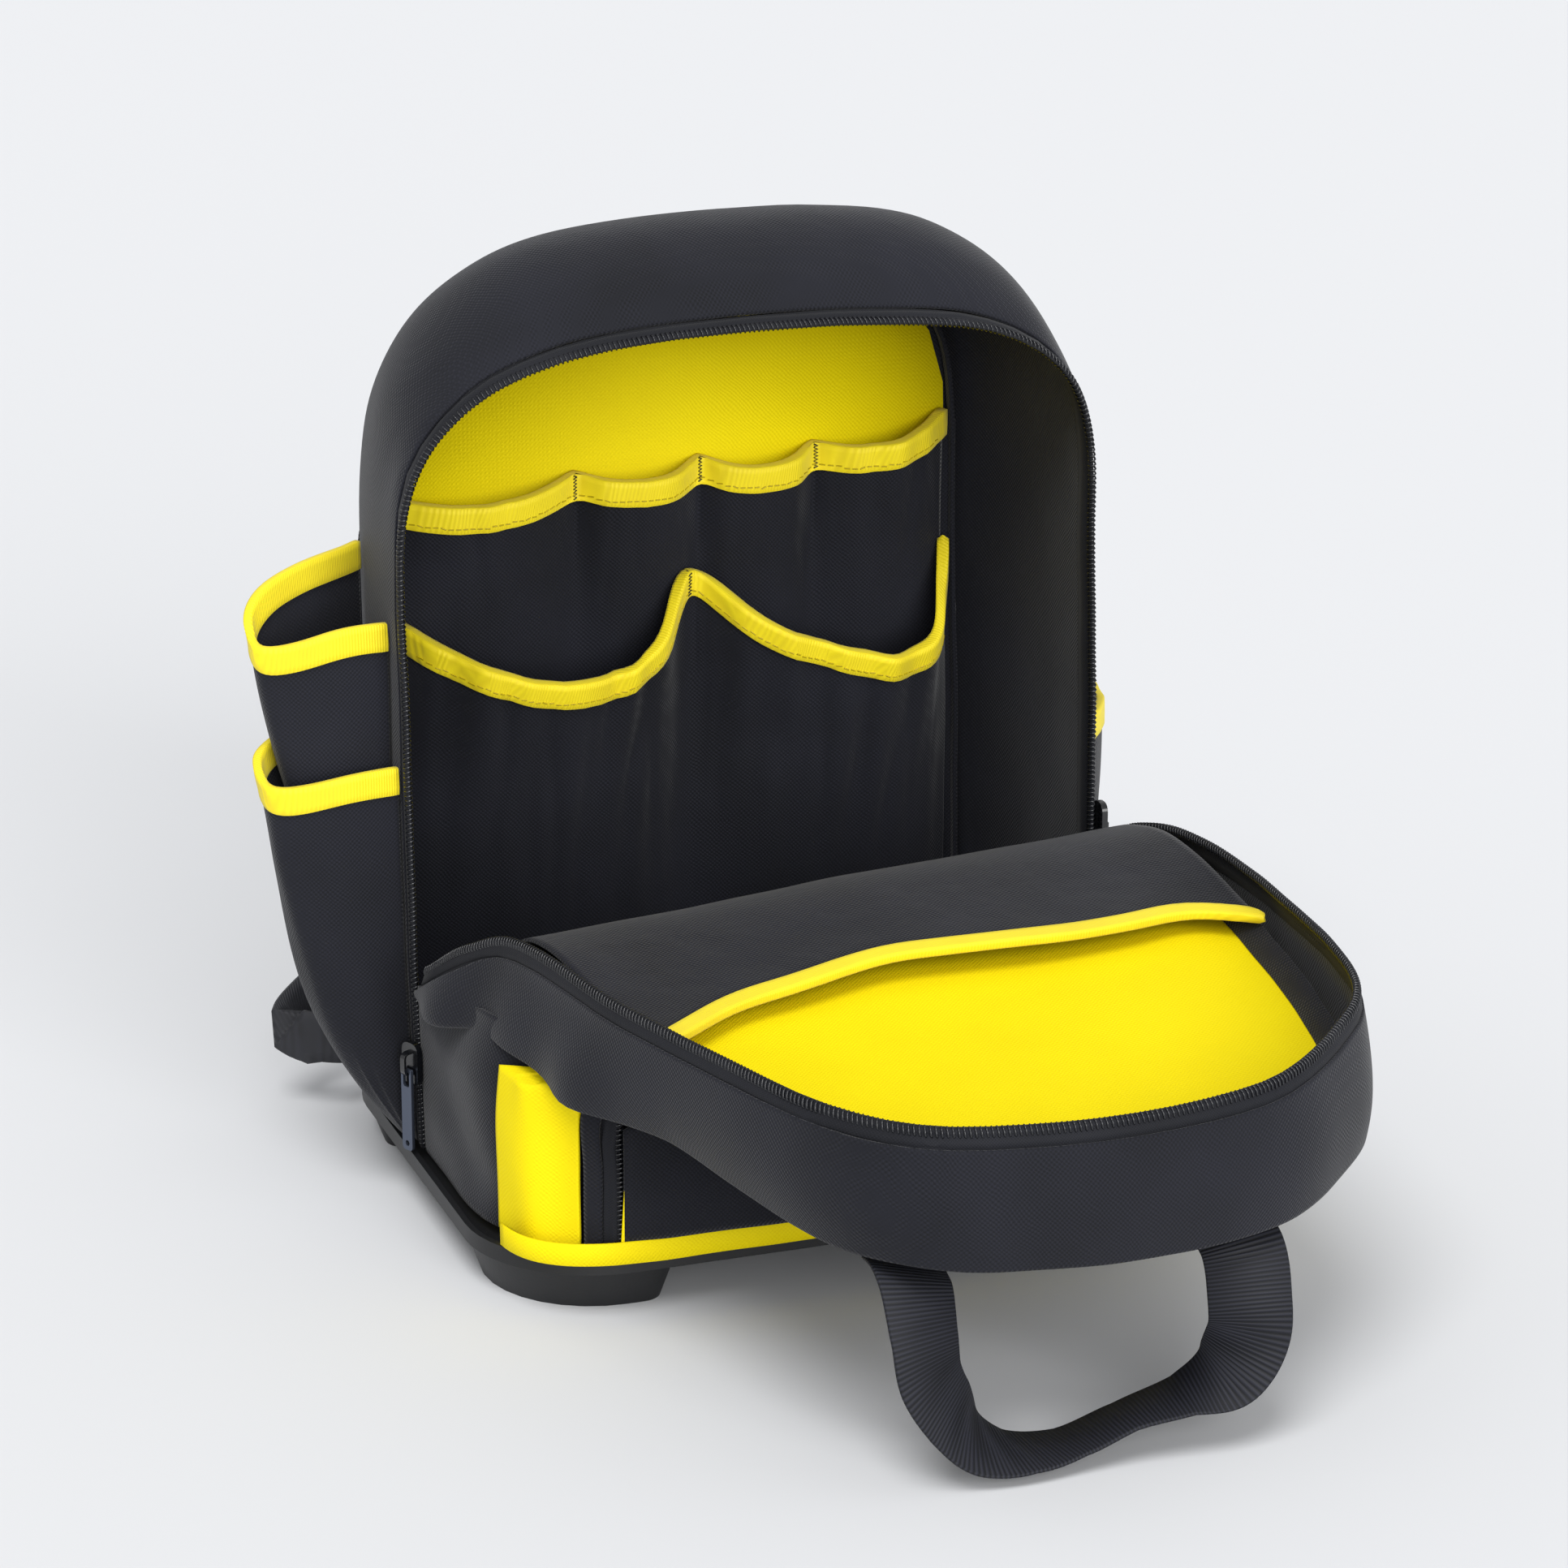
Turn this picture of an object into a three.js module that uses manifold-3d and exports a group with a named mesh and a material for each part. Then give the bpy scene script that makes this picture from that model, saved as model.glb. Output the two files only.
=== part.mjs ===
// A tool backpack that stands open: a cloth bag on a moulded base with four feet, its front panel
// unzipped and folded down, pockets inside and on both sides, and shoulder straps behind.
// Millimetres. +X to the bag's right as seen from the front, +Y to its back, +Z up.

import * as THREE from 'three';
import { ParametricGeometry } from 'three/addons/geometries/ParametricGeometry.js';
import { mergeVertices } from 'three/addons/utils/BufferGeometryUtils.js';
import Module from 'manifold-3d';

// Driving dimensions of the bag. Depths are measured from the line under its middle.

const bagWidth = 344;
const frontDepth = 170;
const backDepth = 121;
const bagHeight = 447;
const trayCorner = 61;
const trayTop = 27;
const trayPlate = 5;
const trayLip = 3;
const trayFloor = 3.5;
const footLength = 84;
const footWidth = 78;
const footDraft = 7;
const clothWall = 1.6;
const liningWall = 1.2;
const clearance = 0.4;

// The main bag: its opening stands in one upright plane, and its back seam in another.

const zipDepth = 18;
const backSeam = 112;
const openingHalf = 170;
const openingTop = 408;
const archSpring = 300;
const leftSquare = 2.9;
const rightSquare = 3.4;
const bodyLean = 0.028;
const panelThickness = 12;
const panelBulge = 7;

// The zip: a tape with a coil along one edge.

const tapeWidth = 9;
const tapeThickness = 0.9;
const coilWidth = 4;
const coilHeight = 2.6;

// The low wall round the front, and the flap that folds over it.

const sectionFront = 152;
const sectionCorner = 55;
const sectionBelow = 1.8;
const creaseDepth = 5;
const flapOver = 2;
const flapHalf = openingHalf + flapOver;
const flapLength = 300;
const flapTurn = THREE.MathUtils.degToRad(9);
const flapHinge = new THREE.Vector3(10, -86, 160);
const gussetHeight = 60;
const gussetBulge = 4;
const liningDrop = 9;
const liningSlope = 0.12;
const flapPocketCrown = 7;

// The zipped pocket on the front.

const pocketFront = 178;
const pocketTop = 104;
const pocketInset = 51;
const pocketHalf = openingHalf - pocketInset;
const pocketRound = 6;
const stripHeight = 10;

// Pockets on the sides and on the back wall.

const bindingDepth = 11;
const bindingWall = 0.8;
const sideFrontEdge = 7;
const sideBackEdge = 58;
const upperMouth = 279;
const lowerMouth = 212;
const upperRowHeight = 313;
const upperRowFoot = 165;
const lowerRowHeight = 262;
const lowerRowFoot = 42;
const rowInset = 32;
const rowHalf = openingHalf - rowInset;
const pocketBulge = 15;

// Webbing, straps and sliders.

const webbingWidth = 36;
const webbingWall = 1.8;
const strapWidth = 62;
const strapThickness = 11;
const strapWebbing = 25;
const sliderLength = 20;
const sliderWidth = 11;
const sliderWall = 3;
const pullLength = 40;
const pullWidth = 7;
const pullWall = 1.6;
const pullBar = 1.6;
const pullSlotHalf = 2.1;
const pullSlotEnd = 8;
const pullEye = 1.5;
const pullHang = 3.2;
const sliderCorner = 4;
const bridgeLength = 12;
const bridgeWidth = 3;
const bridgeWall = 1.2;
const bridgeRise = 4.6;
const buckleWidth = 34;
const buckleWall = 4;
const buckleBar = 3.4;

const black = new THREE.Color('#26272e');
const yellow = new THREE.Color('#f7e600');
const rubber = new THREE.Color('#1d1e22');
const metal = new THREE.Color('#5b6070');

const finishes = {
  cloth: new THREE.MeshStandardMaterial({ color: black, roughness: 0.85, metalness: 0 }),
  yellowCloth: new THREE.MeshStandardMaterial({ color: yellow, roughness: 0.8, metalness: 0 }),
  webbing: new THREE.MeshStandardMaterial({ color: black, roughness: 0.75, metalness: 0 }),
  tray: new THREE.MeshStandardMaterial({ color: rubber, roughness: 0.6, metalness: 0 }),
  zip: new THREE.MeshStandardMaterial({ color: black, roughness: 0.45, metalness: 0 }),
  slider: new THREE.MeshStandardMaterial({ color: rubber, roughness: 0.25, metalness: 0.6 }),
  pull: new THREE.MeshStandardMaterial({ color: metal, roughness: 0.35, metalness: 0.7 }),
};

const wasm = await Module();
wasm.setup();

const bag = new THREE.Group();
const lerp = THREE.MathUtils.lerp;
const point = (x, y, z) => new THREE.Vector3(x, y, z);

function addPiece(name, geometry, finish) {
  const mesh = new THREE.Mesh(geometry, finish);
  mesh.name = name;
  bag.add(mesh);
  return mesh;
}

// Cloth walls.
// A wall is a surface with a thickness: its second face is offset along the normals, and the
// edges are closed. A positive thickness grows against the normal of the surface.

function closeWall(open, thickness) {
  open.deleteAttribute('normal');
  open.deleteAttribute('uv');
  const merged = mergeVertices(open, 1e-3);
  const faces = [];
  for (let i = 0; i < merged.index.count; i += 3) {
    const [a, b, c] = [0, 1, 2].map((k) => merged.index.getX(i + k));
    if (a !== b && b !== c && c !== a) faces.push([a, b, c]);
  }
  merged.setIndex(faces.flat());
  merged.computeVertexNormals();
  const place = merged.getAttribute('position');
  const normal = merged.getAttribute('normal');
  const count = place.count;
  const vertices = Array.from(place.array);
  for (let i = 0; i < count; i++) {
    vertices.push(place.getX(i) - normal.getX(i) * thickness);
    vertices.push(place.getY(i) - normal.getY(i) * thickness);
    vertices.push(place.getZ(i) - normal.getZ(i) * thickness);
  }
  const edges = new Set(faces.flatMap(([a, b, c]) => [`${a} ${b}`, `${b} ${c}`, `${c} ${a}`]));
  const solid = [];
  for (const [a, b, c] of faces) {
    solid.push([a, b, c], [a + count, c + count, b + count]);
    for (const [p, q] of [[a, b], [b, c], [c, a]]) {
      if (!edges.has(`${q} ${p}`)) solid.push([q, p, p + count], [q, p + count, q + count]);
    }
  }
  if (thickness < 0) solid.forEach((face) => face.reverse());
  const geometry = new THREE.BufferGeometry();
  geometry.setAttribute('position', new THREE.Float32BufferAttribute(vertices, 3));
  geometry.setIndex(solid.flat());
  return geometry;
}

function wall(surface, columns, rows, thickness) {
  const open = new ParametricGeometry((u, v, target) => target.copy(surface(u, v)), columns, rows);
  return closeWall(open, thickness);
}

// Strips of one section along a path: bindings, tapes, webbing and padded straps.
// A station has a place and the two directions in which the section's columns are measured.

function strip(stations, section) {
  const vertices = [];
  const faces = [];
  const count = section.length;
  for (const { at, side, up } of stations) {
    for (const [a, b] of section) {
      const corner = at.clone().addScaledVector(side, a).addScaledVector(up, b);
      vertices.push(corner.x, corner.y, corner.z);
    }
  }
  for (let i = 0; i + 1 < stations.length; i++) {
    for (let k = 0; k < count; k++) {
      const [p, q] = [i * count + k, i * count + ((k + 1) % count)];
      faces.push(p, q, q + count, p, q + count, p + count);
    }
  }
  const ends = THREE.ShapeUtils.triangulateShape(section.map(([a, b]) => new THREE.Vector2(a, b)), []);
  const last = (stations.length - 1) * count;
  for (const [a, b, c] of ends) {
    faces.push(c, b, a, a + last, b + last, c + last);
  }
  const geometry = new THREE.BufferGeometry();
  geometry.setAttribute('position', new THREE.Float32BufferAttribute(vertices, 3));
  geometry.setIndex(faces);
  if (solidOf(geometry).volume() < 0) {
    for (let i = 0; i < faces.length; i += 3) [faces[i], faces[i + 1]] = [faces[i + 1], faces[i]];
    geometry.setIndex(faces);
  }
  return geometry;
}

function solidOf(geometry) {
  const bare = geometry.clone();
  bare.deleteAttribute('normal');
  bare.deleteAttribute('uv');
  const merged = mergeVertices(bare, 1e-4);
  return new wasm.Manifold(new wasm.Mesh({
    numProp: 3,
    vertProperties: merged.attributes.position.array,
    triVerts: new Uint32Array(merged.index.array),
  }));
}

function geometryOf(solid) {
  const mesh = solid.getMesh();
  const geometry = new THREE.BufferGeometry();
  geometry.setAttribute('position', new THREE.Float32BufferAttribute(mesh.vertProperties, 3));
  geometry.setIndex(Array.from(mesh.triVerts));
  return geometry;
}

// A curve through the rows of a table: its three columns are read as x, y and z.

function curveThrough(rows, columns) {
  const places = rows.map((row) => point(...columns.map((name) => row[name])));
  return new THREE.CatmullRomCurve3(places, false, 'centripetal');
}

// A value between the rows of a table, straight from row to row.

function between(rows, key, value, column) {
  const last = rows.length - 1;
  if (value <= rows[0][key]) return rows[0][column];
  if (value >= rows[last][key]) return rows[last][column];
  const i = rows.findIndex((row) => row[key] > value) - 1;
  const share = (value - rows[i][key]) / (rows[i + 1][key] - rows[i][key]);
  return lerp(rows[i][column], rows[i + 1][column], share);
}

// Base tray: a moulded plate with a raised lip, and a foot under each corner.

function roundedOutline(left, right, low, high, corners) {
  const [a, b, c, d] = corners;
  const shape = new THREE.Shape();
  shape.moveTo(left + a, low);
  shape.lineTo(right - b, low);
  shape.absarc(right - b, low + b, b, -Math.PI / 2, 0, false);
  shape.lineTo(right, high - c);
  shape.absarc(right - c, high - c, c, 0, Math.PI / 2, false);
  shape.lineTo(left + d, high);
  shape.absarc(left + d, high - d, d, Math.PI / 2, Math.PI, false);
  shape.lineTo(left, low + a);
  shape.absarc(left + a, low + a, a, Math.PI, Math.PI * 1.5, false);
  return shape;
}

function makeTray() {
  const half = bagWidth / 2;
  const plate = new THREE.ExtrudeGeometry(
    roundedOutline(-half, half, -frontDepth, backDepth, Array(4).fill(trayCorner)),
    { depth: trayPlate + trayLip, bevelEnabled: false, curveSegments: 6 },
  );
  plate.translate(0, 0, trayTop - trayPlate - trayLip);
  const inside = half - trayLip;
  const recess = new THREE.ExtrudeGeometry(
    roundedOutline(-inside, inside, -frontDepth + trayLip, backDepth - trayLip,
      Array(4).fill(trayCorner - trayLip)),
    { depth: trayPlate * 2, bevelEnabled: false, curveSegments: 6 },
  );
  recess.translate(0, 0, trayTop - trayPlate - trayLip + trayFloor);
  let solid = solidOf(plate).subtract(solidOf(recess));
  const footTop = trayTop - trayPlate - trayLip + 1;
  for (const sx of [-1, 1]) {
    for (const sy of [-1, 1]) {
      const outer = trayCorner - 2;
      const inner = 10;
      const radii = [inner, inner, inner, inner];
      radii[{ '-1 -1': 0, '1 -1': 1, '1 1': 2, '-1 1': 3 }[`${sx} ${sy}`]] = outer - footDraft;
      const xEdge = sx * (half - 2);
      const yEdge = sy > 0 ? backDepth - 2 : -frontDepth + 2;
      const xs = [xEdge, xEdge - sx * footLength].sort((p, q) => p - q);
      const ys = [yEdge, yEdge - sy * footWidth].sort((p, q) => p - q);
      const foot = new THREE.ExtrudeGeometry(
        roundedOutline(xs[0] + footDraft, xs[1] - footDraft, ys[0] + footDraft, ys[1] - footDraft, radii),
        { depth: 0.5, bevelThickness: footTop - 0.5, bevelSize: footDraft, bevelSegments: 1, curveSegments: 4 },
      );
      const sole = new THREE.ExtrudeGeometry(
        roundedOutline(-half, half, -frontDepth, backDepth, Array(4).fill(trayCorner)),
        { depth: footTop, bevelEnabled: false, curveSegments: 6 },
      );
      foot.translate(0, 0, footTop - 0.5);
      solid = solid.add(solidOf(foot).intersect(solidOf(sole)));
    }
  }
  addPiece('base_tray', geometryOf(solid), finishes.tray);
}

// Main bag.
// The outline of the bag from the front is two legs and an arch. It leans a little to one side.

function archPoint(t, half, base, top) {
  const legShare = 0.28;
  const leanAt = (z) => bodyLean * Math.max(0, 1 - z / archSpring);
  if (t < legShare || t > 1 - legShare) {
    const side = t < 0.5 ? -1 : 1;
    const z = lerp(base, archSpring, Math.min(t, 1 - t) / legShare);
    return [side * half * (1 + side * leanAt(z)), z];
  }
  const angle = Math.PI * (1 - (t - legShare) / (1 - 2 * legShare));
  const square = angle > Math.PI / 2 ? leftSquare : rightSquare;
  const cos = Math.cos(angle);
  const x = half * Math.sign(cos) * Math.abs(cos) ** (2 / square);
  const z = archSpring + (top - archSpring) * Math.max(0, Math.sin(angle)) ** (2 / square);
  return [x, z];
}

// Sections of the side and top wall from the zip to the back seam.

const bodySections = [
  { back: 0.072, half: 1.003, top: 0.926 },
  { back: 0.17, half: 1.006, top: 0.955 },
  { back: 0.32, half: 1.004, top: 0.984 },
  { back: 0.50, half: 0.996, top: 1.000 },
  { back: 0.68, half: 0.976, top: 0.994 },
  { back: 0.84, half: 0.936, top: 0.971 },
  { back: 0.95, half: 0.888, top: 0.942 },
  { back: 1.00, half: 0.868, top: 0.928 },
];

const bodyBase = trayTop + clearance;
const bodyColumns = 26;

function bodyWall(t, v) {
  const row = v * (bodySections.length - 1);
  const i = Math.min(Math.floor(row), bodySections.length - 2);
  const mix = (name) => lerp(bodySections[i][name], bodySections[i + 1][name], row - i);
  const [x, z] = archPoint(t, openingHalf * mix('half'), bodyBase, bagHeight * mix('top'));
  return point(x, lerp(-zipDepth, backSeam, mix('back')), z);
}

// Where the outside of the bag's side lies, at a height below the arch.

function bodySide(side, y, z) {
  const back = (y + zipDepth) / (backSeam + zipDepth);
  const half = openingHalf * between(bodySections, 'back', back, 'half');
  return side * half * (1 + side * bodyLean * Math.max(0, 1 - z / archSpring));
}

function coilPoint(t) {
  const [x, z] = archPoint(t, openingHalf, bodyBase, openingTop);
  return point(x, -zipDepth, z);
}

function makeBody() {
  addPiece('body_gusset', wall(bodyWall, bodyColumns, bodySections.length - 1, clothWall), finishes.cloth);
}

function archSlab(half, top, base, from, thickness, bevel) {
  const shape = new THREE.Shape();
  const steps = bodyColumns;
  for (let i = 0; i <= steps; i++) {
    const [x, z] = archPoint(i / steps, half - bevel, base + bevel, top - bevel);
    if (i === 0) shape.moveTo(x, z);
    else shape.lineTo(x, z);
  }
  const slab = new THREE.ExtrudeGeometry(shape, {
    depth: thickness - 2 * bevel,
    bevelEnabled: bevel > 0,
    bevelThickness: bevel,
    bevelSize: bevel,
    bevelSegments: 1,
  });
  slab.rotateX(Math.PI / 2);
  slab.translate(0, from + thickness - bevel, 0);
  return slab;
}

const backSection = bodySections[bodySections.length - 1];
const panelHalf = openingHalf * backSection.half - clothWall - 0.4;
const panelTop = bagHeight * backSection.top - clothWall - 0.6;
const panelInside = backSeam + panelBulge - panelThickness;
const liningFace = panelInside - clearance - liningWall;

function makeBack() {
  const panel = archSlab(panelHalf, panelTop, bodyBase, panelInside, panelThickness, 3);
  addPiece('back_panel', panel, finishes.cloth);
  const lining = archSlab(panelHalf - 4, panelTop - 5, bodyBase + 3, liningFace, liningWall, 0);
  addPiece('back_lining', lining, finishes.yellowCloth);
}

// Bound seam round the back panel, inside the bag: a narrow folded tape.

function makeBackSeam() {
  const stations = [];
  const steps = 22;
  for (let i = 0; i <= steps; i++) {
    const t = lerp(0.02, 0.98, i / steps);
    const [x, z] = archPoint(t, panelHalf - 1.5, bodyBase + 3, panelTop - 2);
    const [x1, z1] = archPoint(t + 0.004, panelHalf - 1.5, bodyBase + 3, panelTop - 2);
    const along = point(x1 - x, 0, z1 - z).normalize();
    const inward = along.clone().cross(point(0, 1, 0)).negate();
    stations.push({ at: point(x, liningFace - 3.2, z), side: point(0, 1, 0), up: inward });
  }
  const section = [[-2.4, -1], [2.6, -1], [2.6, 1], [-2.4, 1]];
  addPiece('back_seam_binding', strip(stations, section), finishes.cloth);
}

// Zips: a tape ending in a coil. The section is measured from the coil's free edge.

function zipSection(width) {
  const half = tapeThickness / 2;
  const coil = coilHeight / 2;
  return [
    [-width + clearance, -half], [-coilWidth, -half], [-coilWidth / 2, -coil], [0.4, 0],
    [-coilWidth / 2, coil], [-coilWidth, half], [-width + clearance, half],
  ];
}

function zipStations(coilAt, edgeAt, steps) {
  const stations = [];
  for (let i = 0; i <= steps; i++) {
    const t = i / steps;
    const at = coilAt(t);
    const along = coilAt(Math.min(1, t + 0.01)).sub(coilAt(Math.max(0, t - 0.01))).normalize();
    const side = at.clone().sub(edgeAt(t)).normalize();
    const up = along.clone().cross(side).normalize();
    stations.push({ at, side, up });
  }
  return stations;
}

function makeBodyZip() {
  const wallMiddle = (t) => {
    const edge = bodyWall(t, 0);
    const middle = point(0, 0, archSpring / 2);
    const inward = middle.sub(edge).setY(0).normalize();
    return edge.addScaledVector(inward, clothWall / 2);
  };
  const stations = zipStations(coilPoint, wallMiddle, bodyColumns);
  addPiece('body_zip', strip(stations, zipSection(tapeWidth)), finishes.zip);
}

// Height of the flap's outer panel over the bag's foot, from the bag to the flap's end.

const flapFloor = [
  { along: -0.30, height: 111 },
  { along: 0.00, height: 124 },
  { along: 0.32, height: 113 },
  { along: 0.52, height: 107 },
  { along: 0.78, height: 101 },
  { along: 1.02, height: 98 },
];

const flapAxis = point(Math.sin(flapTurn), -Math.cos(flapTurn), 0);
const flapSide = point(Math.cos(flapTurn), Math.sin(flapTurn), 0);

// The low wall round the front of the bag, with a slack crease across each side.

function roundFront(t, half, front, corner, back) {
  const straight = front - corner - back;
  const arc = corner * Math.PI / 2;
  const across = 2 * (half - corner);
  const length = 2 * straight + 2 * arc + across;
  const s = Math.min(t, 1 - t) * length;
  const side = t < 0.5 ? -1 : 1;
  if (s < straight) return [side * half, -back - s];
  if (s < straight + arc) {
    const angle = (s - straight) / corner;
    return [side * (half - corner + corner * Math.cos(angle)), -(front - corner + corner * Math.sin(angle))];
  }
  return [side * (half - corner - (s - straight - arc)), -front];
}

const sectionStart = zipDepth + 2.6;

function sectionTopAt(x, y) {
  const place = point(x - flapHinge.x, y - flapHinge.y, 0);
  return between(flapFloor, 'along', place.dot(flapAxis) / flapLength, 'height') - sectionBelow;
}

function sectionWall(t, v) {
  const [x0, y0] = roundFront(t, openingHalf, sectionFront, sectionCorner, sectionStart);
  const top = sectionTopAt(x0, y0);
  const z = lerp(bodyBase, top, v);
  const side = Math.sign(x0);
  const lean = 1 + side * bodyLean * (1 - z / archSpring);
  const along = (-y0 - sectionStart) / (sectionFront - sectionStart);
  const creaseHeight = lerp(78, bodyBase, along);
  const near = Math.exp(-(((z - creaseHeight) / 14) ** 2)) * Math.sin(Math.PI * THREE.MathUtils.clamp(along, 0, 1));
  const dent = creaseDepth * near;
  return point(x0 * lean - side * dent * Math.min(1, Math.abs(x0) / openingHalf), y0, z);
}

function makeFrontSection() {
  addPiece('front_section', wall(sectionWall, 24, 5, clothWall), finishes.cloth);
}

// The flap.
// Its rim runs from the zip on one side, round the end of the flap, to the zip on the other.
// Across and along are shares of the flap's half width and length, rise of the gusset's height,
// and foot says how far the gusset's lower edge stands out, also as a share of its height.

const flapRim = [
  { across: -0.955, along: -0.270, rise: -0.62, foot: 0.00 },
  { across: -0.945, along: -0.130, rise: -0.22, foot: -0.04 },
  { across: -0.915, along: 0.010, rise: 0.02, foot: -0.10 },
  { across: -0.905, along: 0.320, rise: 0.05, foot: -0.14 },
  { across: -0.855, along: 0.520, rise: 0.05, foot: -0.14 },
  { across: -0.775, along: 0.770, rise: 0.03, foot: -0.05 },
  { across: -0.625, along: 0.905, rise: 0.02, foot: 0.04 },
  { across: -0.350, along: 0.985, rise: 0.02, foot: 0.08 },
  { across: -0.020, along: 1.020, rise: 0.02, foot: 0.08 },
  { across: 0.290, along: 1.005, rise: 0.05, foot: 0.06 },
  { across: 0.560, along: 0.915, rise: 0.10, foot: 0.04 },
  { across: 0.755, along: 0.810, rise: 0.16, foot: 0.05 },
  { across: 0.850, along: 0.650, rise: 0.20, foot: 0.06 },
  { across: 0.970, along: 0.300, rise: 0.20, foot: 0.02 },
  { across: 1.000, along: 0.100, rise: 0.15, foot: 0.00 },
  { across: 0.985, along: 0.005, rise: 0.05, foot: 0.00 },
  { across: 0.990, along: -0.105, rise: -0.28, foot: 0.00 },
];

function onFlap(across, along, z) {
  const at = flapHinge.clone();
  at.addScaledVector(flapSide, across).addScaledVector(flapAxis, along);
  return at.setZ(z);
}

const rimCurve = curveThrough(flapRim, ['across', 'along', 'rise']);
const footCurve = curveThrough(flapRim, ['across', 'along', 'foot']);

function rimShares(t) {
  const at = rimCurve.getPoint(t);
  return { across: at.x, along: at.y, rise: at.z, foot: footCurve.getPoint(t).z };
}

function rimPoint(t) {
  const row = rimShares(t);
  return onFlap(row.across * flapHalf, row.along * flapLength, flapHinge.z + row.rise * gussetHeight);
}

// Outward direction of the rim, level.

function rimOut(t) {
  const step = 0.006;
  const along = rimPoint(Math.min(1, t + step)).sub(rimPoint(Math.max(0, t - step)));
  return point(-along.y, along.x, 0).normalize().negate();
}

const tapeDrop = 0.95;
const tapeOut = 0.45;

// From the zip tape's edge down to the lower edge, then turned in a little under the flap.

function flapGusset(t, v) {
  const row = rimShares(t);
  const rim = rimPoint(t);
  const out = rimOut(t);
  const low = between(flapFloor, 'along', row.along, 'height');
  const top = rim.z - tapeWidth * tapeDrop;
  const turn = 0.84;
  const down = Math.min(v / turn, 1);
  const under = Math.max(0, (v - turn) / (1 - turn));
  const height = Math.max(top - low, 2.5);
  const fullness = Math.min(1, height / gussetHeight);
  const bulge = gussetBulge * Math.sin(Math.PI * down) * fullness;
  const shift = tapeWidth * tapeOut + bulge + row.foot * height * down - under * 7 * fullness;
  rim.addScaledVector(out, shift);
  return rim.setZ(top - height * (1 - (1 - down) ** 1.15) - under * 0.8);
}

const rimColumns = 28;

function makeFlapGusset() {
  addPiece('flap_gusset', wall(flapGusset, rimColumns, 5, -clothWall), finishes.cloth);
}

function makeFlapZip() {
  const edge = (t) => flapGusset(t, 0).addScaledVector(rimOut(t), -clothWall / 2);
  addPiece('flap_zip', strip(zipStations(rimPoint, edge, rimColumns), zipSection(tapeWidth)), finishes.zip);
}

// The rim's stations at an equal distance along the flap, on both sides.

function rimAt(side, along) {
  let low = side < 0 ? 0 : 1;
  let high = 0.5;
  const tip = 0.5;
  for (let i = 0; i < 30; i++) {
    const middle = (low + high) / 2;
    if (rimShares(middle).along < along) low = middle;
    else high = middle;
  }
  return side < 0 ? Math.min(low, tip) : Math.max(low, tip);
}

// A panel across the flap, from one gusset wall to the other: it keeps off the wall by a margin.

function acrossFlap(q, along, margin, heightAt) {
  const edge = (side) => {
    const t = rimAt(side, along);
    return rimPoint(t).addScaledVector(rimOut(t), -margin);
  };
  const left = edge(-1);
  const right = edge(1);
  const at = left.clone().lerp(right, q);
  return at.setZ(heightAt(lerp(left.z, right.z, q), along, q));
}

const flapTip = 0.985;
const panelStart = { left: 0.15, right: 0.30 };
const tipRows = (v, from) => lerp(from, flapTip, Math.sin(v * Math.PI / 2) ** 0.9);

function makeFlapPanels() {
  const panel = (q, v) => {
    const along = tipRows(v, lerp(panelStart.left, panelStart.right, q));
    const low = between(flapFloor, 'along', along, 'height');
    return acrossFlap(q, along, 9, () => low + 3 - 2 * Math.sin(Math.PI * q));
  };
  addPiece('flap_panel', wall(panel, 8, 6, clothWall), finishes.cloth);
  const lining = (q, v) => {
    const along = tipRows(v, 0.07);
    const drop = liningDrop + liningSlope * along * flapLength;
    return acrossFlap(q, along, 3, (rim) => rim - drop - 5 - 1.5 * Math.sin(Math.PI * q));
  };
  addPiece('flap_lining', wall(lining, 10, 8, liningWall), finishes.yellowCloth);
}

// The black panel at the hinge end rolls over the fold and forms a pocket on the lining.
// Its free edge stands up a little in the middle, and ends further along at both sides.

const flapPocketSections = [
  { along: 0.100, below: 36 },
  { along: 0.010, below: 28 },
  { along: -0.035, below: 17 },
  { along: -0.030, below: 7 },
  { along: 0.020, below: 0.5 },
  { along: 0.100, below: 3 },
  { along: 0.210, below: 10 },
  { along: 0.330, below: 16 },
];

const flapPocketEdge = [
  { across: 0.00, along: 0.07 },
  { across: 0.15, along: -0.01 },
  { across: 0.27, along: -0.03 },
  { across: 0.43, along: -0.04 },
  { across: 0.58, along: -0.01 },
  { across: 0.70, along: 0.01 },
  { across: 0.94, along: 0.02 },
  { across: 1.00, along: 0.09 },
];

function flapPocket(q, v) {
  const row = v * (flapPocketSections.length - 1);
  const i = Math.min(Math.floor(row), flapPocketSections.length - 2);
  const mix = (name) => lerp(flapPocketSections[i][name], flapPocketSections[i + 1][name], row - i);
  const reach = between(flapPocketEdge, 'across', q, 'along') * Math.max(0, v - 0.6) / 0.4;
  const along = mix('along') + reach;
  const crown = flapPocketCrown * Math.sin(Math.PI * q) ** 2 * Math.max(0, v - 0.4);
  const edge = Math.max(along, 0.012);
  const at = acrossFlap(q, edge, 5, (rim) => rim - mix('below') + crown);
  return at.addScaledVector(flapAxis, (along - edge) * flapLength);
}

// A folded tape over a cloth edge. Out is the wall's normal, up points past the edge.

function bindingSection(wallThickness, gap, depth) {
  const inner = wallThickness / 2 + gap;
  const outer = inner + bindingWall;
  const rest = 2 * clearance;
  const lid = rest + bindingWall;
  return [
    [outer, -depth], [outer, lid], [-outer, lid], [-outer, -depth],
    [-inner, -depth], [-inner, rest], [inner, rest], [inner, -depth],
  ];
}

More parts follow.
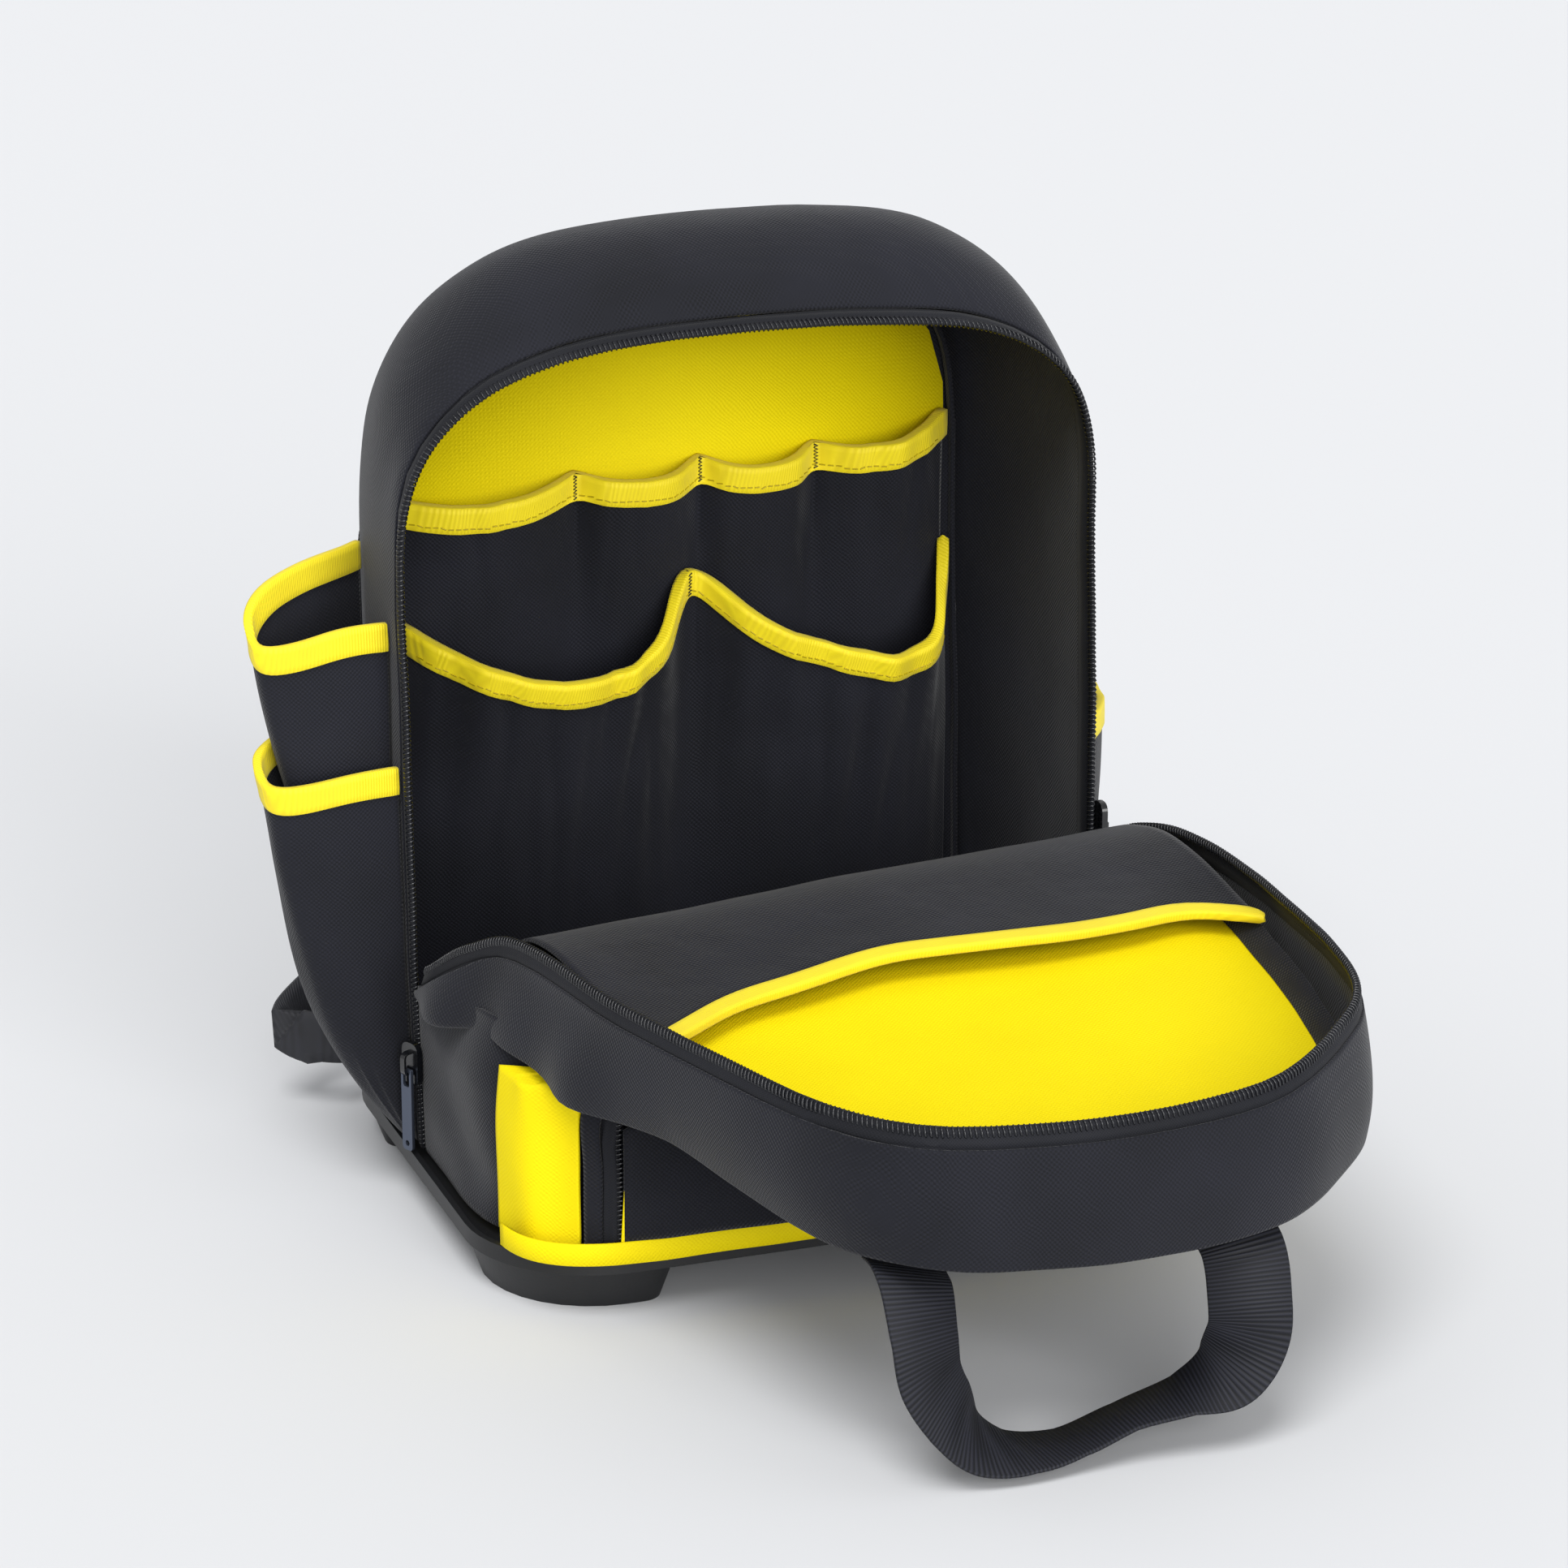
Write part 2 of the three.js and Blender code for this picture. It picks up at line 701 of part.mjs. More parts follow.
function bindingOn(surface, thickness, steps, gap = clearance, depth = bindingDepth) {
  const stations = [];
  for (let i = 0; i <= steps; i++) {
    const t = i / steps;
    const h = 0.002;
    const edge = surface(t, 0);
    const along = surface(Math.min(t + h, 1), 0).sub(surface(Math.max(t - h, 0), 0));
    const up = edge.clone().sub(surface(t, 0.12)).normalize();
    const out = along.normalize().cross(up).normalize();
    edge.addScaledVector(out, thickness / 2);
    stations.push({ at: edge, side: out, up });
  }
  return strip(stations, bindingSection(Math.abs(thickness), gap, depth));
}

function makeFlapPocket() {
  addPiece('flap_pocket', wall(flapPocket, 12, 9, clothWall), finishes.cloth);
  const edge = (t, v) => flapPocket(t, 1 - v * 0.5);
  addPiece('flap_pocket_binding', bindingOn(edge, -clothWall, 12, clearance, 8), finishes.yellowCloth);
}

// Zipped pocket on the front: gusset, band, zip and face run up one side, across and down.

function pocketLoop(t, half, front, top) {
  const base = bodyBase + stripHeight * 0.25;
  const leg = top - pocketRound - base;
  const arc = pocketRound * Math.PI / 2;
  const across = 2 * (half - pocketRound);
  const length = 2 * leg + 2 * arc + across;
  const s = Math.min(t, 1 - t) * length;
  const side = t < 0.5 ? -1 : 1;
  if (s < leg) return point(side * half, -front, base + s);
  if (s < leg + arc) {
    const angle = (s - leg) / pocketRound;
    const x = half - pocketRound + pocketRound * Math.cos(angle);
    return point(side * x, -front, top - pocketRound + pocketRound * Math.sin(angle));
  }
  return point(side * (half - pocketRound - (s - leg - arc)), -front, top);
}

const pocketSteps = 18;

// Rings of the pocket from the bag's wall to the face, each a loop in its own upright plane.

// Stand is the least distance that a ring keeps off the bag's wall.

const pocketRings = {
  seam: { half: pocketHalf + 42, front: 0, stand: 5.2, top: pocketTop + 9 },
  fold: { half: pocketHalf + 33, front: 150, stand: 4, top: pocketTop + 8 },
  gusset: { half: pocketHalf + 15, front: 164, stand: 4, top: pocketTop + 8 },
  band: { half: pocketHalf + 7, front: 172, stand: 4, top: pocketTop + 3 },
  coil: { half: pocketHalf, front: 175, stand: 4, top: pocketTop - 4 },
};

function ringPoint(ring, t) {
  const at = pocketLoop(t, ring.half, ring.front, ring.top);
  const lean = 1 + Math.sign(at.x) * bodyLean * (1 - at.z / archSpring);
  const over = Math.abs(at.x) / lean - (openingHalf - sectionCorner);
  const round = Math.sqrt(sectionCorner ** 2 - Math.max(0, over) ** 2);
  return at.setY(-Math.max(ring.front, sectionFront - sectionCorner + round + ring.stand));
}

function makePocketGusset() {
  const rings = [pocketRings.seam, pocketRings.fold, pocketRings.gusset];
  const surface = (t, v) => {
    const i = Math.min(Math.floor(v * 2), 1);
    const at = ringPoint(rings[i], t).lerp(ringPoint(rings[i + 1], t), v * 2 - i);
    const pleat = 2.2 * Math.sin(v * Math.PI * 2) * Math.sin(Math.PI * Math.min(1, 2 * Math.min(t, 1 - t) * 2.4));
    return at.add(point(Math.sign(t - 0.5) * pleat * 0.6, -pleat * 0.5, 0));
  };
  addPiece('pocket_gusset', wall(surface, pocketSteps, 4, -clothWall), finishes.yellowCloth);
}

function makePocketBand() {
  const surface = (t, v) => {
    const at = ringPoint(pocketRings.gusset, t).lerp(ringPoint(pocketRings.band, t), lerp(0.2, 1, v));
    return at;
  };
  addPiece('pocket_band', wall(surface, pocketSteps, 1, -clothWall), finishes.cloth);
  const coil = (t) => ringPoint(pocketRings.coil, t);
  const edge = (t) => ringPoint(pocketRings.band, t);
  const width = 7.2;
  addPiece('pocket_zip', strip(zipStations(coil, edge, pocketSteps), zipSection(width)), finishes.zip);
}

function makePocketFace() {
  const half = pocketHalf - 2;
  const top = pocketTop - 6;
  const surface = (u, v) => {
    const x = lerp(-half, half, u);
    const corner = Math.max(0, Math.abs(x) - (half - pocketRound));
    const drop = pocketRound - Math.sqrt(Math.max(0, pocketRound ** 2 - corner ** 2));
    const z = lerp(trayTop + stripHeight + 1, top - drop, v);
    const bulge = 4 * Math.sin(Math.PI * u) ** 0.6 * Math.sin(Math.PI * lerp(0.2, 1, v));
    return point(x, -pocketFront - bulge, z);
  };
  addPiece('pocket_face', wall(surface, 14, 4, clothWall), finishes.cloth);
  const strip = (t, v) => {
    const [x, y] = roundFront(lerp(0.245, 0.755, t), openingHalf + 1, pocketFront - 1, sectionCorner, sectionStart);
    return point(x, y - 1.2 * Math.sin(Math.PI * v), lerp(bodyBase, trayTop + stripHeight, v));
  };
  addPiece('pocket_strip', wall(strip, 20, 1, -clothWall), finishes.yellowCloth);
}

// Side pockets.
// The mouth of a pocket goes from its front seam out and back to its rear seam: along is a share
// of the way back, out of the pocket's depth, and rise of the mouth's slant.

const openMouth = [
  { along: 0.00, out: 0.00, rise: 0.00 },
  { along: -0.04, out: 0.34, rise: 0.00 },
  { along: 0.00, out: 0.66, rise: -0.20 },
  { along: 0.08, out: 0.93, rise: -0.32 },
  { along: 0.20, out: 1.00, rise: 0.00 },
  { along: 0.33, out: 0.97, rise: 0.35 },
  { along: 0.48, out: 0.78, rise: 0.70 },
  { along: 0.66, out: 0.48, rise: 0.90 },
  { along: 0.84, out: 0.20, rise: 0.96 },
  { along: 1.00, out: 0.00, rise: 1.00 },
];

const slackMouth = [
  { along: 0.00, out: 0.00, rise: 0.00 },
  { along: 0.10, out: 0.30, rise: 0.00 },
  { along: 0.28, out: 0.70, rise: -0.05 },
  { along: 0.48, out: 0.96, rise: 0.05 },
  { along: 0.62, out: 1.00, rise: 0.25 },
  { along: 0.80, out: 0.66, rise: 0.60 },
  { along: 1.00, out: 0.00, rise: 1.00 },
];

// How far a pocket stands out below its mouth, as shares of its depth and of its height.

const upperHang = [
  { down: 0.00, out: 1.00 },
  { down: 0.40, out: 0.83 },
  { down: 0.70, out: 0.62 },
  { down: 0.90, out: 0.30 },
  { down: 1.00, out: 0.02 },
];

const lowerHang = [
  { down: 0.00, out: 1.00 },
  { down: 0.30, out: 0.90 },
  { down: 0.60, out: 0.73 },
  { down: 0.82, out: 0.45 },
  { down: 1.00, out: 0.04 },
];

const pocketStand = 1.4;

const sidePockets = [
  { name: 'left_upper_pocket', side: -1, mouth: openMouth, hang: upperHang, depth: 60, slant: 23,
    top: upperMouth, base: 128, front: 3, back: sideBackEdge, off: pocketStand, grow: 0 },
  { name: 'left_lower_pocket', side: -1, mouth: openMouth, hang: lowerHang, depth: 59, slant: 16,
    top: lowerMouth, base: bodyBase + 3, front: -sideFrontEdge, back: sideBackEdge + 8, off: pocketStand, grow: 5 },
  { name: 'right_upper_pocket', side: 1, mouth: slackMouth, hang: upperHang, depth: 12, slant: 14,
    top: upperMouth + 2, base: 128, front: 3, back: sideBackEdge, off: pocketStand, grow: 0 },
  { name: 'right_lower_pocket', side: 1, mouth: slackMouth, hang: lowerHang, depth: 17, slant: 10,
    top: lowerMouth - 12, base: bodyBase + 3, front: -sideFrontEdge, back: sideBackEdge + 8, off: pocketStand, grow: 0 },
];

function sidePocketWall(pocket) {
  const mouth = curveThrough(pocket.mouth, ['along', 'out', 'rise']);
  return (u, v) => {
    const at = mouth.getPoint(u);
    const y = lerp(pocket.front, pocket.back, at.x);
    const z = lerp(pocket.top + at.z * pocket.slant, pocket.base, v);
    const hang = between(pocket.hang, 'down', v, 'out');
    const out = pocket.off + at.y * pocket.depth * hang;
    return point(bodySide(pocket.side, y, z) + pocket.side * (out + clearance), y, z);
  };
}

function makeSidePockets() {
  for (const pocket of sidePockets) {
    const surface = sidePocketWall(pocket);
    const wallSide = pocket.side * clothWall;
    const columns = pocket.mouth.length * 2 - 6;
    addPiece(pocket.name, wall(surface, columns, 4, wallSide), finishes.cloth);
    const binding = bindingOn(surface, wallSide, columns);
    addPiece(pocket.name + '_binding', binding, finishes.yellowCloth);
  }
}

// Pocket rows on the back wall.
// Upper row: seams at shares of the row's half width, with the height of the edge at each.

const upperSeams = [
  { across: -1.00, rise: -6 },
  { across: -0.37, rise: 0 },
  { across: 0.09, rise: 3 },
  { across: 0.52, rise: 4 },
  { across: 1.00, rise: 14 },
];

const rowStand = 2.6;
const rowGap = 1.15;

function upperRow(u, v) {
  const pockets = upperSeams.length - 1;
  const i = Math.min(Math.floor(u * pockets), pockets - 1);
  const share = u * pockets - i;
  const x = lerp(upperSeams[i].across, upperSeams[i + 1].across, share) * rowHalf;
  return upperRowAt(x, v);
}

function upperRowAt(x, v) {
  const across = THREE.MathUtils.clamp(x / rowHalf, -1, 1);
  let i = upperSeams.findIndex((seam) => seam.across > across) - 1;
  if (i < 0) i = upperSeams.length - 2;
  const [a, b] = [upperSeams[i], upperSeams[i + 1]];
  const share = (across - a.across) / (b.across - a.across);
  const belly = Math.max(0, Math.sin(Math.PI * share)) ** 0.8;
  const rise = lerp(a.rise, b.rise, share) - 5 * belly;
  const z = lerp(upperRowHeight + rise, upperRowFoot, v);
  return point(x, liningFace - rowStand - pocketBulge * belly * (1 - v) ** 1.2, z);
}

// Lower row: two pockets whose edge sags between the seams.

const lowerEdge = [
  { across: -1.00, drop: 0.34, out: 0.00 },
  { across: -0.76, drop: 0.68, out: 0.78 },
  { across: -0.52, drop: 0.89, out: 1.00 },
  { across: -0.30, drop: 0.87, out: 0.94 },
  { across: -0.12, drop: 0.58, out: 0.60 },
  { across: 0.03, drop: 0.02, out: 0.00 },
  { across: 0.13, drop: 0.14, out: 0.22 },
  { across: 0.29, drop: 0.54, out: 0.66 },
  { across: 0.54, drop: 0.86, out: 0.96 },
  { across: 0.74, drop: 1.00, out: 1.00 },
  { across: 0.88, drop: 0.88, out: 0.76 },
  { across: 0.96, drop: 0.36, out: 0.30 },
  { across: 1.00, drop: 0.00, out: 0.00 },
];

const lowerSag = 46;
const lowerBulge = 30;
const lowerCurve = curveThrough(lowerEdge, ['across', 'drop', 'out']);

function lowerRow(u, v) {
  const at = lowerCurve.getPoint(u);
  const x = at.x * rowHalf;
  const z = lerp(lowerRowHeight - at.y * lowerSag, lowerRowFoot, v);
  const behind = upperRowAt(x, THREE.MathUtils.clamp((upperRowHeight - z) / (upperRowHeight - upperRowFoot), 0, 1));
  const out = Math.max(0, at.z) * lowerBulge * (0.3 + 0.7 * (1 - v) ** 1.6) * (1 - 0.6 * v ** 3);
  return point(x, behind.y - clothWall - rowStand - out, z);
}

function makeRows() {
  addPiece('upper_row', wall(upperRow, 20, 3, clothWall), finishes.cloth);
  addPiece('upper_row_binding', bindingOn(upperRow, clothWall, 20, rowGap), finishes.yellowCloth);
  addPiece('lower_row', wall(lowerRow, 20, 4, clothWall), finishes.cloth);
  addPiece('lower_row_binding', bindingOn(lowerRow, clothWall, 20, rowGap), finishes.yellowCloth);
}

// Grab handle: one webbing that hangs from the flap's outer panel in a loop, half turned below.
// Across is measured from the middle of the flap's end, out along the flap, in millimetres.

const handleRoute = [
  { across: -107, out: -34, height: 93, turn: 0 },
  { across: -108, out: -14, height: 88, turn: 12 },
  { across: -108, out: -3, height: 70, turn: 20 },
  { across: -106, out: -1, height: 52, turn: 22 },
  { across: -97, out: -2, height: 34, turn: 30 },
  { across: -84, out: -4, height: 17, turn: 48 },
  { across: -64, out: -6, height: 8.5, turn: 74 },
  { across: -40, out: -8, height: 8, turn: 86 },
  { across: -15, out: -8, height: 16, turn: 88 },
  { across: 10, out: -6, height: 23, turn: 80 },
  { across: 28, out: -3, height: 32, turn: 50 },
  { across: 37, out: -1, height: 50, turn: 22 },
  { across: 37, out: -1, height: 68, turn: 18 },
  { across: 36, out: -8, height: 88, turn: 12 },
  { across: 35, out: -34, height: 94, turn: 0 },
];

function ribbonStations(path, turnAt, steps, forward) {
  const stations = [];
  for (let i = 0; i <= steps; i++) {
    const t = i / steps;
    const at = path.getPoint(t);
    const along = path.getTangent(t);
    const side = along.clone().cross(forward).normalize();
    const face = side.clone().cross(along).normalize();
    const turn = THREE.MathUtils.degToRad(turnAt(t));
    const across = side.clone().multiplyScalar(Math.cos(turn)).addScaledVector(face, Math.sin(turn));
    stations.push({ at, side: across, up: across.clone().cross(along).normalize() });
  }
  return stations;
}

function flatSection(width, thickness) {
  const [a, b] = [width / 2, thickness / 2];
  return [[-a, -b], [a, -b], [a, b], [-a, b]];
}

function makeHandle() {
  const end = flapHinge.clone().addScaledVector(flapAxis, flapLength);
  const places = handleRoute.map((row) => point(end.x + row.across, end.y - row.out, row.height));
  const path = new THREE.CatmullRomCurve3(places, false, 'centripetal');
  const turns = handleRoute.map((row, i) => ({ share: i / (handleRoute.length - 1), turn: row.turn }));
  const turnAt = (t) => between(turns, 'share', t, 'turn');
  const stations = ribbonStations(path, turnAt, 34, point(0, -1, 0.2).normalize());
  addPiece('handle', strip(stations, flatSection(webbingWidth, webbingWall)), finishes.webbing);
}

// Shoulder straps: a padded strap that hangs from the top of the back panel, a buckle at its end,
// and a webbing from there to the lower corner of the bag. Heights are shares of the
// bag's height, and places across are shares of the opening's half width.

const strapRoute = [
  { out: 0.306, behind: 4.4, height: 0.899 },
  { out: 0.318, behind: 18, height: 0.875 },
  { out: 0.359, behind: 35, height: 0.828 },
  { out: 0.435, behind: 46, height: 0.761 },
  { out: 0.518, behind: 45, height: 0.649 },
  { out: 0.588, behind: 40, height: 0.537 },
  { out: 0.647, behind: 33, height: 0.425 },
  { out: 0.694, behind: 26, height: 0.336 },
];

const webbingRoute = [
  { out: 0.712, behind: 23, height: 0.295 },
  { out: 0.724, behind: 21, height: 0.271 },
  { out: 0.776, behind: 22, height: 0.224 },
  { out: 0.882, behind: 22, height: 0.166 },
  { out: 1.024, behind: 19, height: 0.116 },
  { out: 1.112, behind: 12, height: 0.094 },
  { out: 1.129, behind: 2, height: 0.085 },
  { out: 1.082, behind: -8, height: 0.083 },
  { out: 1.006, behind: -15, height: 0.083 },
];

function strapPath(rows, side) {
  const back = backSeam + panelBulge;
  return new THREE.CatmullRomCurve3(
    rows.map((row) => point(side * openingHalf * row.out, back + row.behind, bagHeight * row.height)),
    false, 'centripetal',
  );
}

function makeStraps() {
  for (const [name, side] of [['left', -1], ['right', 1]]) {
    const pad = ribbonStations(strapPath(strapRoute, side), () => 0, 12, point(0, 1, 0));
    const [a, b] = [strapWidth / 2, strapThickness / 2];
    const padSection = [[-a, 0], [-a + 5, -b], [a - 5, -b], [a, 0], [a - 5, b], [-a + 5, b]];
    addPiece(name + '_strap', strip(pad, padSection), finishes.cloth);
    const web = ribbonStations(strapPath(webbingRoute, side), () => 0, 16, point(0, 1, 0));
    addPiece(name + '_webbing', strip(web, flatSection(strapWebbing, webbingWall)), finishes.webbing);
  }
}

// Sliders. Their own frame: x across the slider, y up along the zip, z away from the cloth.

const sliderPlaces = {
  left: point(-openingHalf + 0.8, -zipDepth - 1.2, 72),
  right: point(openingHalf + 4.7, -zipDepth + 0.5, 150),
  pocket: point(pocketHalf + 1.2, -pocketFront + 0.1, 62),
};

function frameOf(at, outward) {
  const up = point(0, 0, 1);
  const out = outward.clone().normalize();
  return new THREE.Matrix4().makeBasis(up.clone().cross(out), up, out).setPosition(at);
}

function sliderPlate() {
  const [a, b] = [sliderWidth / 2, sliderLength / 2];
  return new THREE.ExtrudeGeometry(
    roundedOutline(-a, a, -b, b, [2, 2, sliderCorner, sliderCorner]),
    { depth: sliderWall, bevelEnabled: false, curveSegments: 2 },
  );
}

// The bridge over the slider, which holds the pull's upper bar.

function sliderBridge() {
  const half = bridgeLength / 2;
  const top = sliderWall + bridgeRise;
  const inside = bridgeRise - bridgeWall;
  const shape = roundedOutline(-half, half, sliderWall - 0.5, top, [0.1, 0.1, inside, inside]);
  const hole = roundedOutline(
    -half + bridgeWall, half - bridgeWall, sliderWall, top - bridgeWall, [0.1, 0.1, inside / 2, inside / 2],
  );
  shape.holes.push(hole);
  const bridge = new THREE.ExtrudeGeometry(shape, { depth: bridgeWidth, bevelEnabled: false, curveSegments: 2 });
  bridge.translate(0, 0, -bridgeWidth / 2);
  return bridge.applyMatrix4(new THREE.Matrix4().makeBasis(point(0, 1, 0), point(0, 0, 1), point(1, 0, 0)));
}

// The pull hangs from its upper bar, whose middle is the hinge.

function pullPlate() {
  const half = pullWidth / 2;
  const shape = roundedOutline(-half, half, -pullLength, pullBar / 2, [2, 2, 1, 1]);
  shape.holes.push(roundedOutline(-pullSlotHalf, pullSlotHalf, -pullSlotEnd, -pullBar / 2, [1, 1, 0.4, 0.4]));
  const eye = new THREE.Path();
  eye.absarc(0, -pullLength + half, pullEye, 0, Math.PI * 2, false);
  shape.holes.push(eye);
  const plate = new THREE.ExtrudeGeometry(shape, { depth: pullWall, bevelEnabled: false, curveSegments: 3 });
  return plate.translate(0, 0, -pullWall / 2);
}

function makeSliders() {
  const leftFrame = frameOf(sliderPlaces.left, point(-0.906, -0.423, 0));
  const body = geometryOf(solidOf(sliderPlate()).add(solidOf(sliderBridge())));
  addPiece('left_slider', body.applyMatrix4(leftFrame), finishes.slider);
  const pull = pullPlate().translate(0, -pullHang, sliderWall + (bridgeRise - bridgeWall) / 2);
  addPiece('left_pull', pull.applyMatrix4(leftFrame), finishes.pull);
  const plain = [
    ['right_slider', sliderPlaces.right, point(1, 0, 0)],
    ['pocket_slider', sliderPlaces.pocket, point(0.394, -0.919, 0)],
  ];
  for (const [name, at, outward] of plain) {
    const flat = new THREE.BoxGeometry(pullWidth, pullLength, pullWall);
    flat.translate(0, -pullLength / 2, sliderWall + pullWall / 2 - 0.2);
    const whole = geometryOf(solidOf(sliderPlate()).add(solidOf(flat)));
    addPiece(name, whole.applyMatrix4(frameOf(at, outward)), finishes.slider);
  }
}

// Ladder-lock buckles between the padded straps and their webbing.

function makeBuckles() {
  for (const [name, side] of [['left', -1], ['right', 1]]) {
    const from = strapPath(strapRoute, side).getPoint(1);
    const to = strapPath(webbingRoute, side).getPoint(0);
    const up = from.clone().sub(to).normalize();
    const across = up.clone().cross(point(0, -1, 0)).normalize();
    const [a, b] = [buckleWidth / 2, from.distanceTo(to) / 2 - 2 * clearance];
    const shape = roundedOutline(-a, a, -b, b, [3, 3, 3, 3]);
    for (const low of [-b + buckleBar, buckleBar / 2]) {
      shape.holes.push(roundedOutline(-a + 3, a - 3, low, low + b - buckleBar * 1.5, [0.5, 0.5, 0.5, 0.5]));
    }
    const buckle = new THREE.ExtrudeGeometry(shape, { depth: buckleWall, bevelEnabled: false, curveSegments: 1 });
    buckle.translate(0, 0, -buckleWall / 2);
    const frame = new THREE.Matrix4().makeBasis(across, up, across.clone().cross(up));
    buckle.applyMatrix4(frame.setPosition(from.lerp(to, 0.5)));
    addPiece(name + '_buckle', buckle, finishes.slider);
  }
}

makeTray();
makeBody();
makeBack();
makeBackSeam();
makeBodyZip();
makeFrontSection();
makeFlapGusset();
makeFlapZip();
makeFlapPanels();
makeFlapPocket();
makePocketGusset();
makePocketBand();
makePocketFace();
makeSidePockets();
makeRows();
makeHandle();
makeStraps();
makeSliders();
makeBuckles();

// The origin is on the floor, under the middle of the whole.

const box = new THREE.Box3().setFromObject(bag);
bag.position.set(-(box.min.x + box.max.x) / 2, -(box.min.y + box.max.y) / 2, -box.min.z);

export default bag;
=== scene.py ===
import bmesh
import bpy
import math
from mathutils import Matrix, Vector, noise


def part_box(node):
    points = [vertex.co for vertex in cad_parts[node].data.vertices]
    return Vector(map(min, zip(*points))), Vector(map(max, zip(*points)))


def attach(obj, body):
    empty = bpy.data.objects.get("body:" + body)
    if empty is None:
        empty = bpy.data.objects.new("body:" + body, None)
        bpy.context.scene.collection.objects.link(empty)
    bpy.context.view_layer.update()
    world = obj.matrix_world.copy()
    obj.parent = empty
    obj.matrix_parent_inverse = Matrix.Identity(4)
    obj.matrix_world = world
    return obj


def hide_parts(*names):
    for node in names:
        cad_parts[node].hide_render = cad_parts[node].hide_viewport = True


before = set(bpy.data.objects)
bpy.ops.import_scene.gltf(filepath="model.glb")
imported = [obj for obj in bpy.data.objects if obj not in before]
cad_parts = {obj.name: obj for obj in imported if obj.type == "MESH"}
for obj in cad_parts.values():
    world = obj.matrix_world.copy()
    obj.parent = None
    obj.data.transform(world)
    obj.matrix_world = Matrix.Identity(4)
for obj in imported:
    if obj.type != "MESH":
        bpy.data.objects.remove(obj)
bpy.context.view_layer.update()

# Camera
# A long lens a little to the left of the bag and above it, as in the photograph. Places on the
# bag are measured from the point on the floor under its middle, where the base gives x and y.

tray_low, tray_high = (Vector(corner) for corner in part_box("base_tray"))
BASE_FRONT = 0.170
bag = Vector(((tray_low.x + tray_high.x) / 2, tray_low.y + BASE_FRONT, 0))


def on_bag(x, y, z):
    """A place on the bag, given in millimetres, in the frame's metres."""
    return bag + Vector((x, y, z)) / 1000


CAMERA_TURN = math.radians(-19.46)
CAMERA_RISE = math.radians(18.91)
CAMERA_DISTANCE = 2.597
PHOTO_WIDTH = 1932
FOCAL_PIXELS = 6746
camera_back = Vector((
    math.sin(CAMERA_TURN) * math.cos(CAMERA_RISE),
    -math.cos(CAMERA_TURN) * math.cos(CAMERA_RISE),
    math.sin(CAMERA_RISE),
))
camera_right = Vector((math.cos(CAMERA_TURN), math.sin(CAMERA_TURN), 0))
camera_up = camera_back.cross(camera_right)
camera = bpy.data.objects.new("camera", bpy.data.cameras.new("camera"))
camera.data.sensor_width = 36
camera.data.lens = FOCAL_PIXELS / PHOTO_WIDTH * camera.data.sensor_width
camera.matrix_world = Matrix.Translation(
    on_bag(20.47, 0, 180.9) + camera_back * CAMERA_DISTANCE
) @ Matrix((camera_right, camera_up, camera_back)).transposed().to_4x4()
bpy.context.scene.collection.objects.link(camera)
bpy.context.scene.camera = camera


# Floor and light
# A pale matt floor that the light makes almost white. A soft light from the upper left, a wider
# and stronger one from low in front that reaches into the bag, and a pale room all round.

def linear(code, alpha=1.0):
    """An sRGB hex colour in linear values."""
    parts = [int(code[i:i + 2], 16) / 255 for i in (1, 3, 5)]
    parts = [c / 12.92 if c <= 0.04045 else ((c + 0.055) / 1.055) ** 2.4 for c in parts]
    return (*parts, alpha)


def add(tree, kind, inputs=None, **settings):
    """Adds a node, with values or sockets for its inputs."""
    node = tree.nodes.new(kind)
    for key, value in settings.items():
        setattr(node, key, value)
    for key, value in (inputs or {}).items():
        if isinstance(value, bpy.types.NodeSocket):
            tree.links.new(value, node.inputs[key])
        else:
            node.inputs[key].default_value = value
    return node


def new_finish(name):
    """An empty material with its surface shader."""
    material = bpy.data.materials.new(name)
    material.use_nodes = True
    tree = material.node_tree
    tree.nodes.clear()
    shader = add(tree, "ShaderNodeBsdfPrincipled")
    add(tree, "ShaderNodeOutputMaterial", {"Surface": shader.outputs[0]})
    return material, tree, shader


def new_piece(name, mesh):
    """An object made from a bmesh, which it uses up."""
    data = bpy.data.meshes.new(name)
    mesh.to_mesh(data)
    mesh.free()
    piece = bpy.data.objects.new(name, data)
    bpy.context.scene.collection.objects.link(piece)
    return piece


FLOOR_SIZE = 12
studio_floor, _, floor_shader = new_finish("studio_floor")
floor_shader.inputs["Base Color"].default_value = linear("#D4D5D7")
floor_shader.inputs["Roughness"].default_value = 0.9
floor_shader.inputs["Specular IOR Level"].default_value = 0.1
plane = bmesh.new()
bmesh.ops.create_grid(plane, x_segments=1, y_segments=1, size=FLOOR_SIZE)
floor = new_piece("floor", plane)
floor.data.materials.append(studio_floor)

world = bpy.data.worlds.new("studio")
world.use_nodes = True
world.node_tree.nodes["Background"].inputs["Color"].default_value = linear("#F7F8FA")
world.node_tree.nodes["Background"].inputs["Strength"].default_value = 0.62
bpy.context.scene.world = world
bpy.context.scene.view_settings.view_transform = "Standard"

for lamp_name, place, spread, strength in (
    ("key_light", (-650, -850, 1900), 30, 1.8),
    ("front_light", (120, -1900, 560), 45, 2.7),
):
    lamp = bpy.data.objects.new(lamp_name, bpy.data.lights.new(lamp_name, "SUN"))
    lamp.data.angle = math.radians(spread)
    lamp.data.energy = strength
    lamp.rotation_euler = (-Vector(place)).to_track_quat("-Z", "Y").to_euler()
    bpy.context.scene.collection.objects.link(lamp)


# Base
# A black plastic base with four feet, injection moulded with a fine sandblasted grain, which
# gives a matt face with soft edges. The cloth is riveted and sewn to its rim.

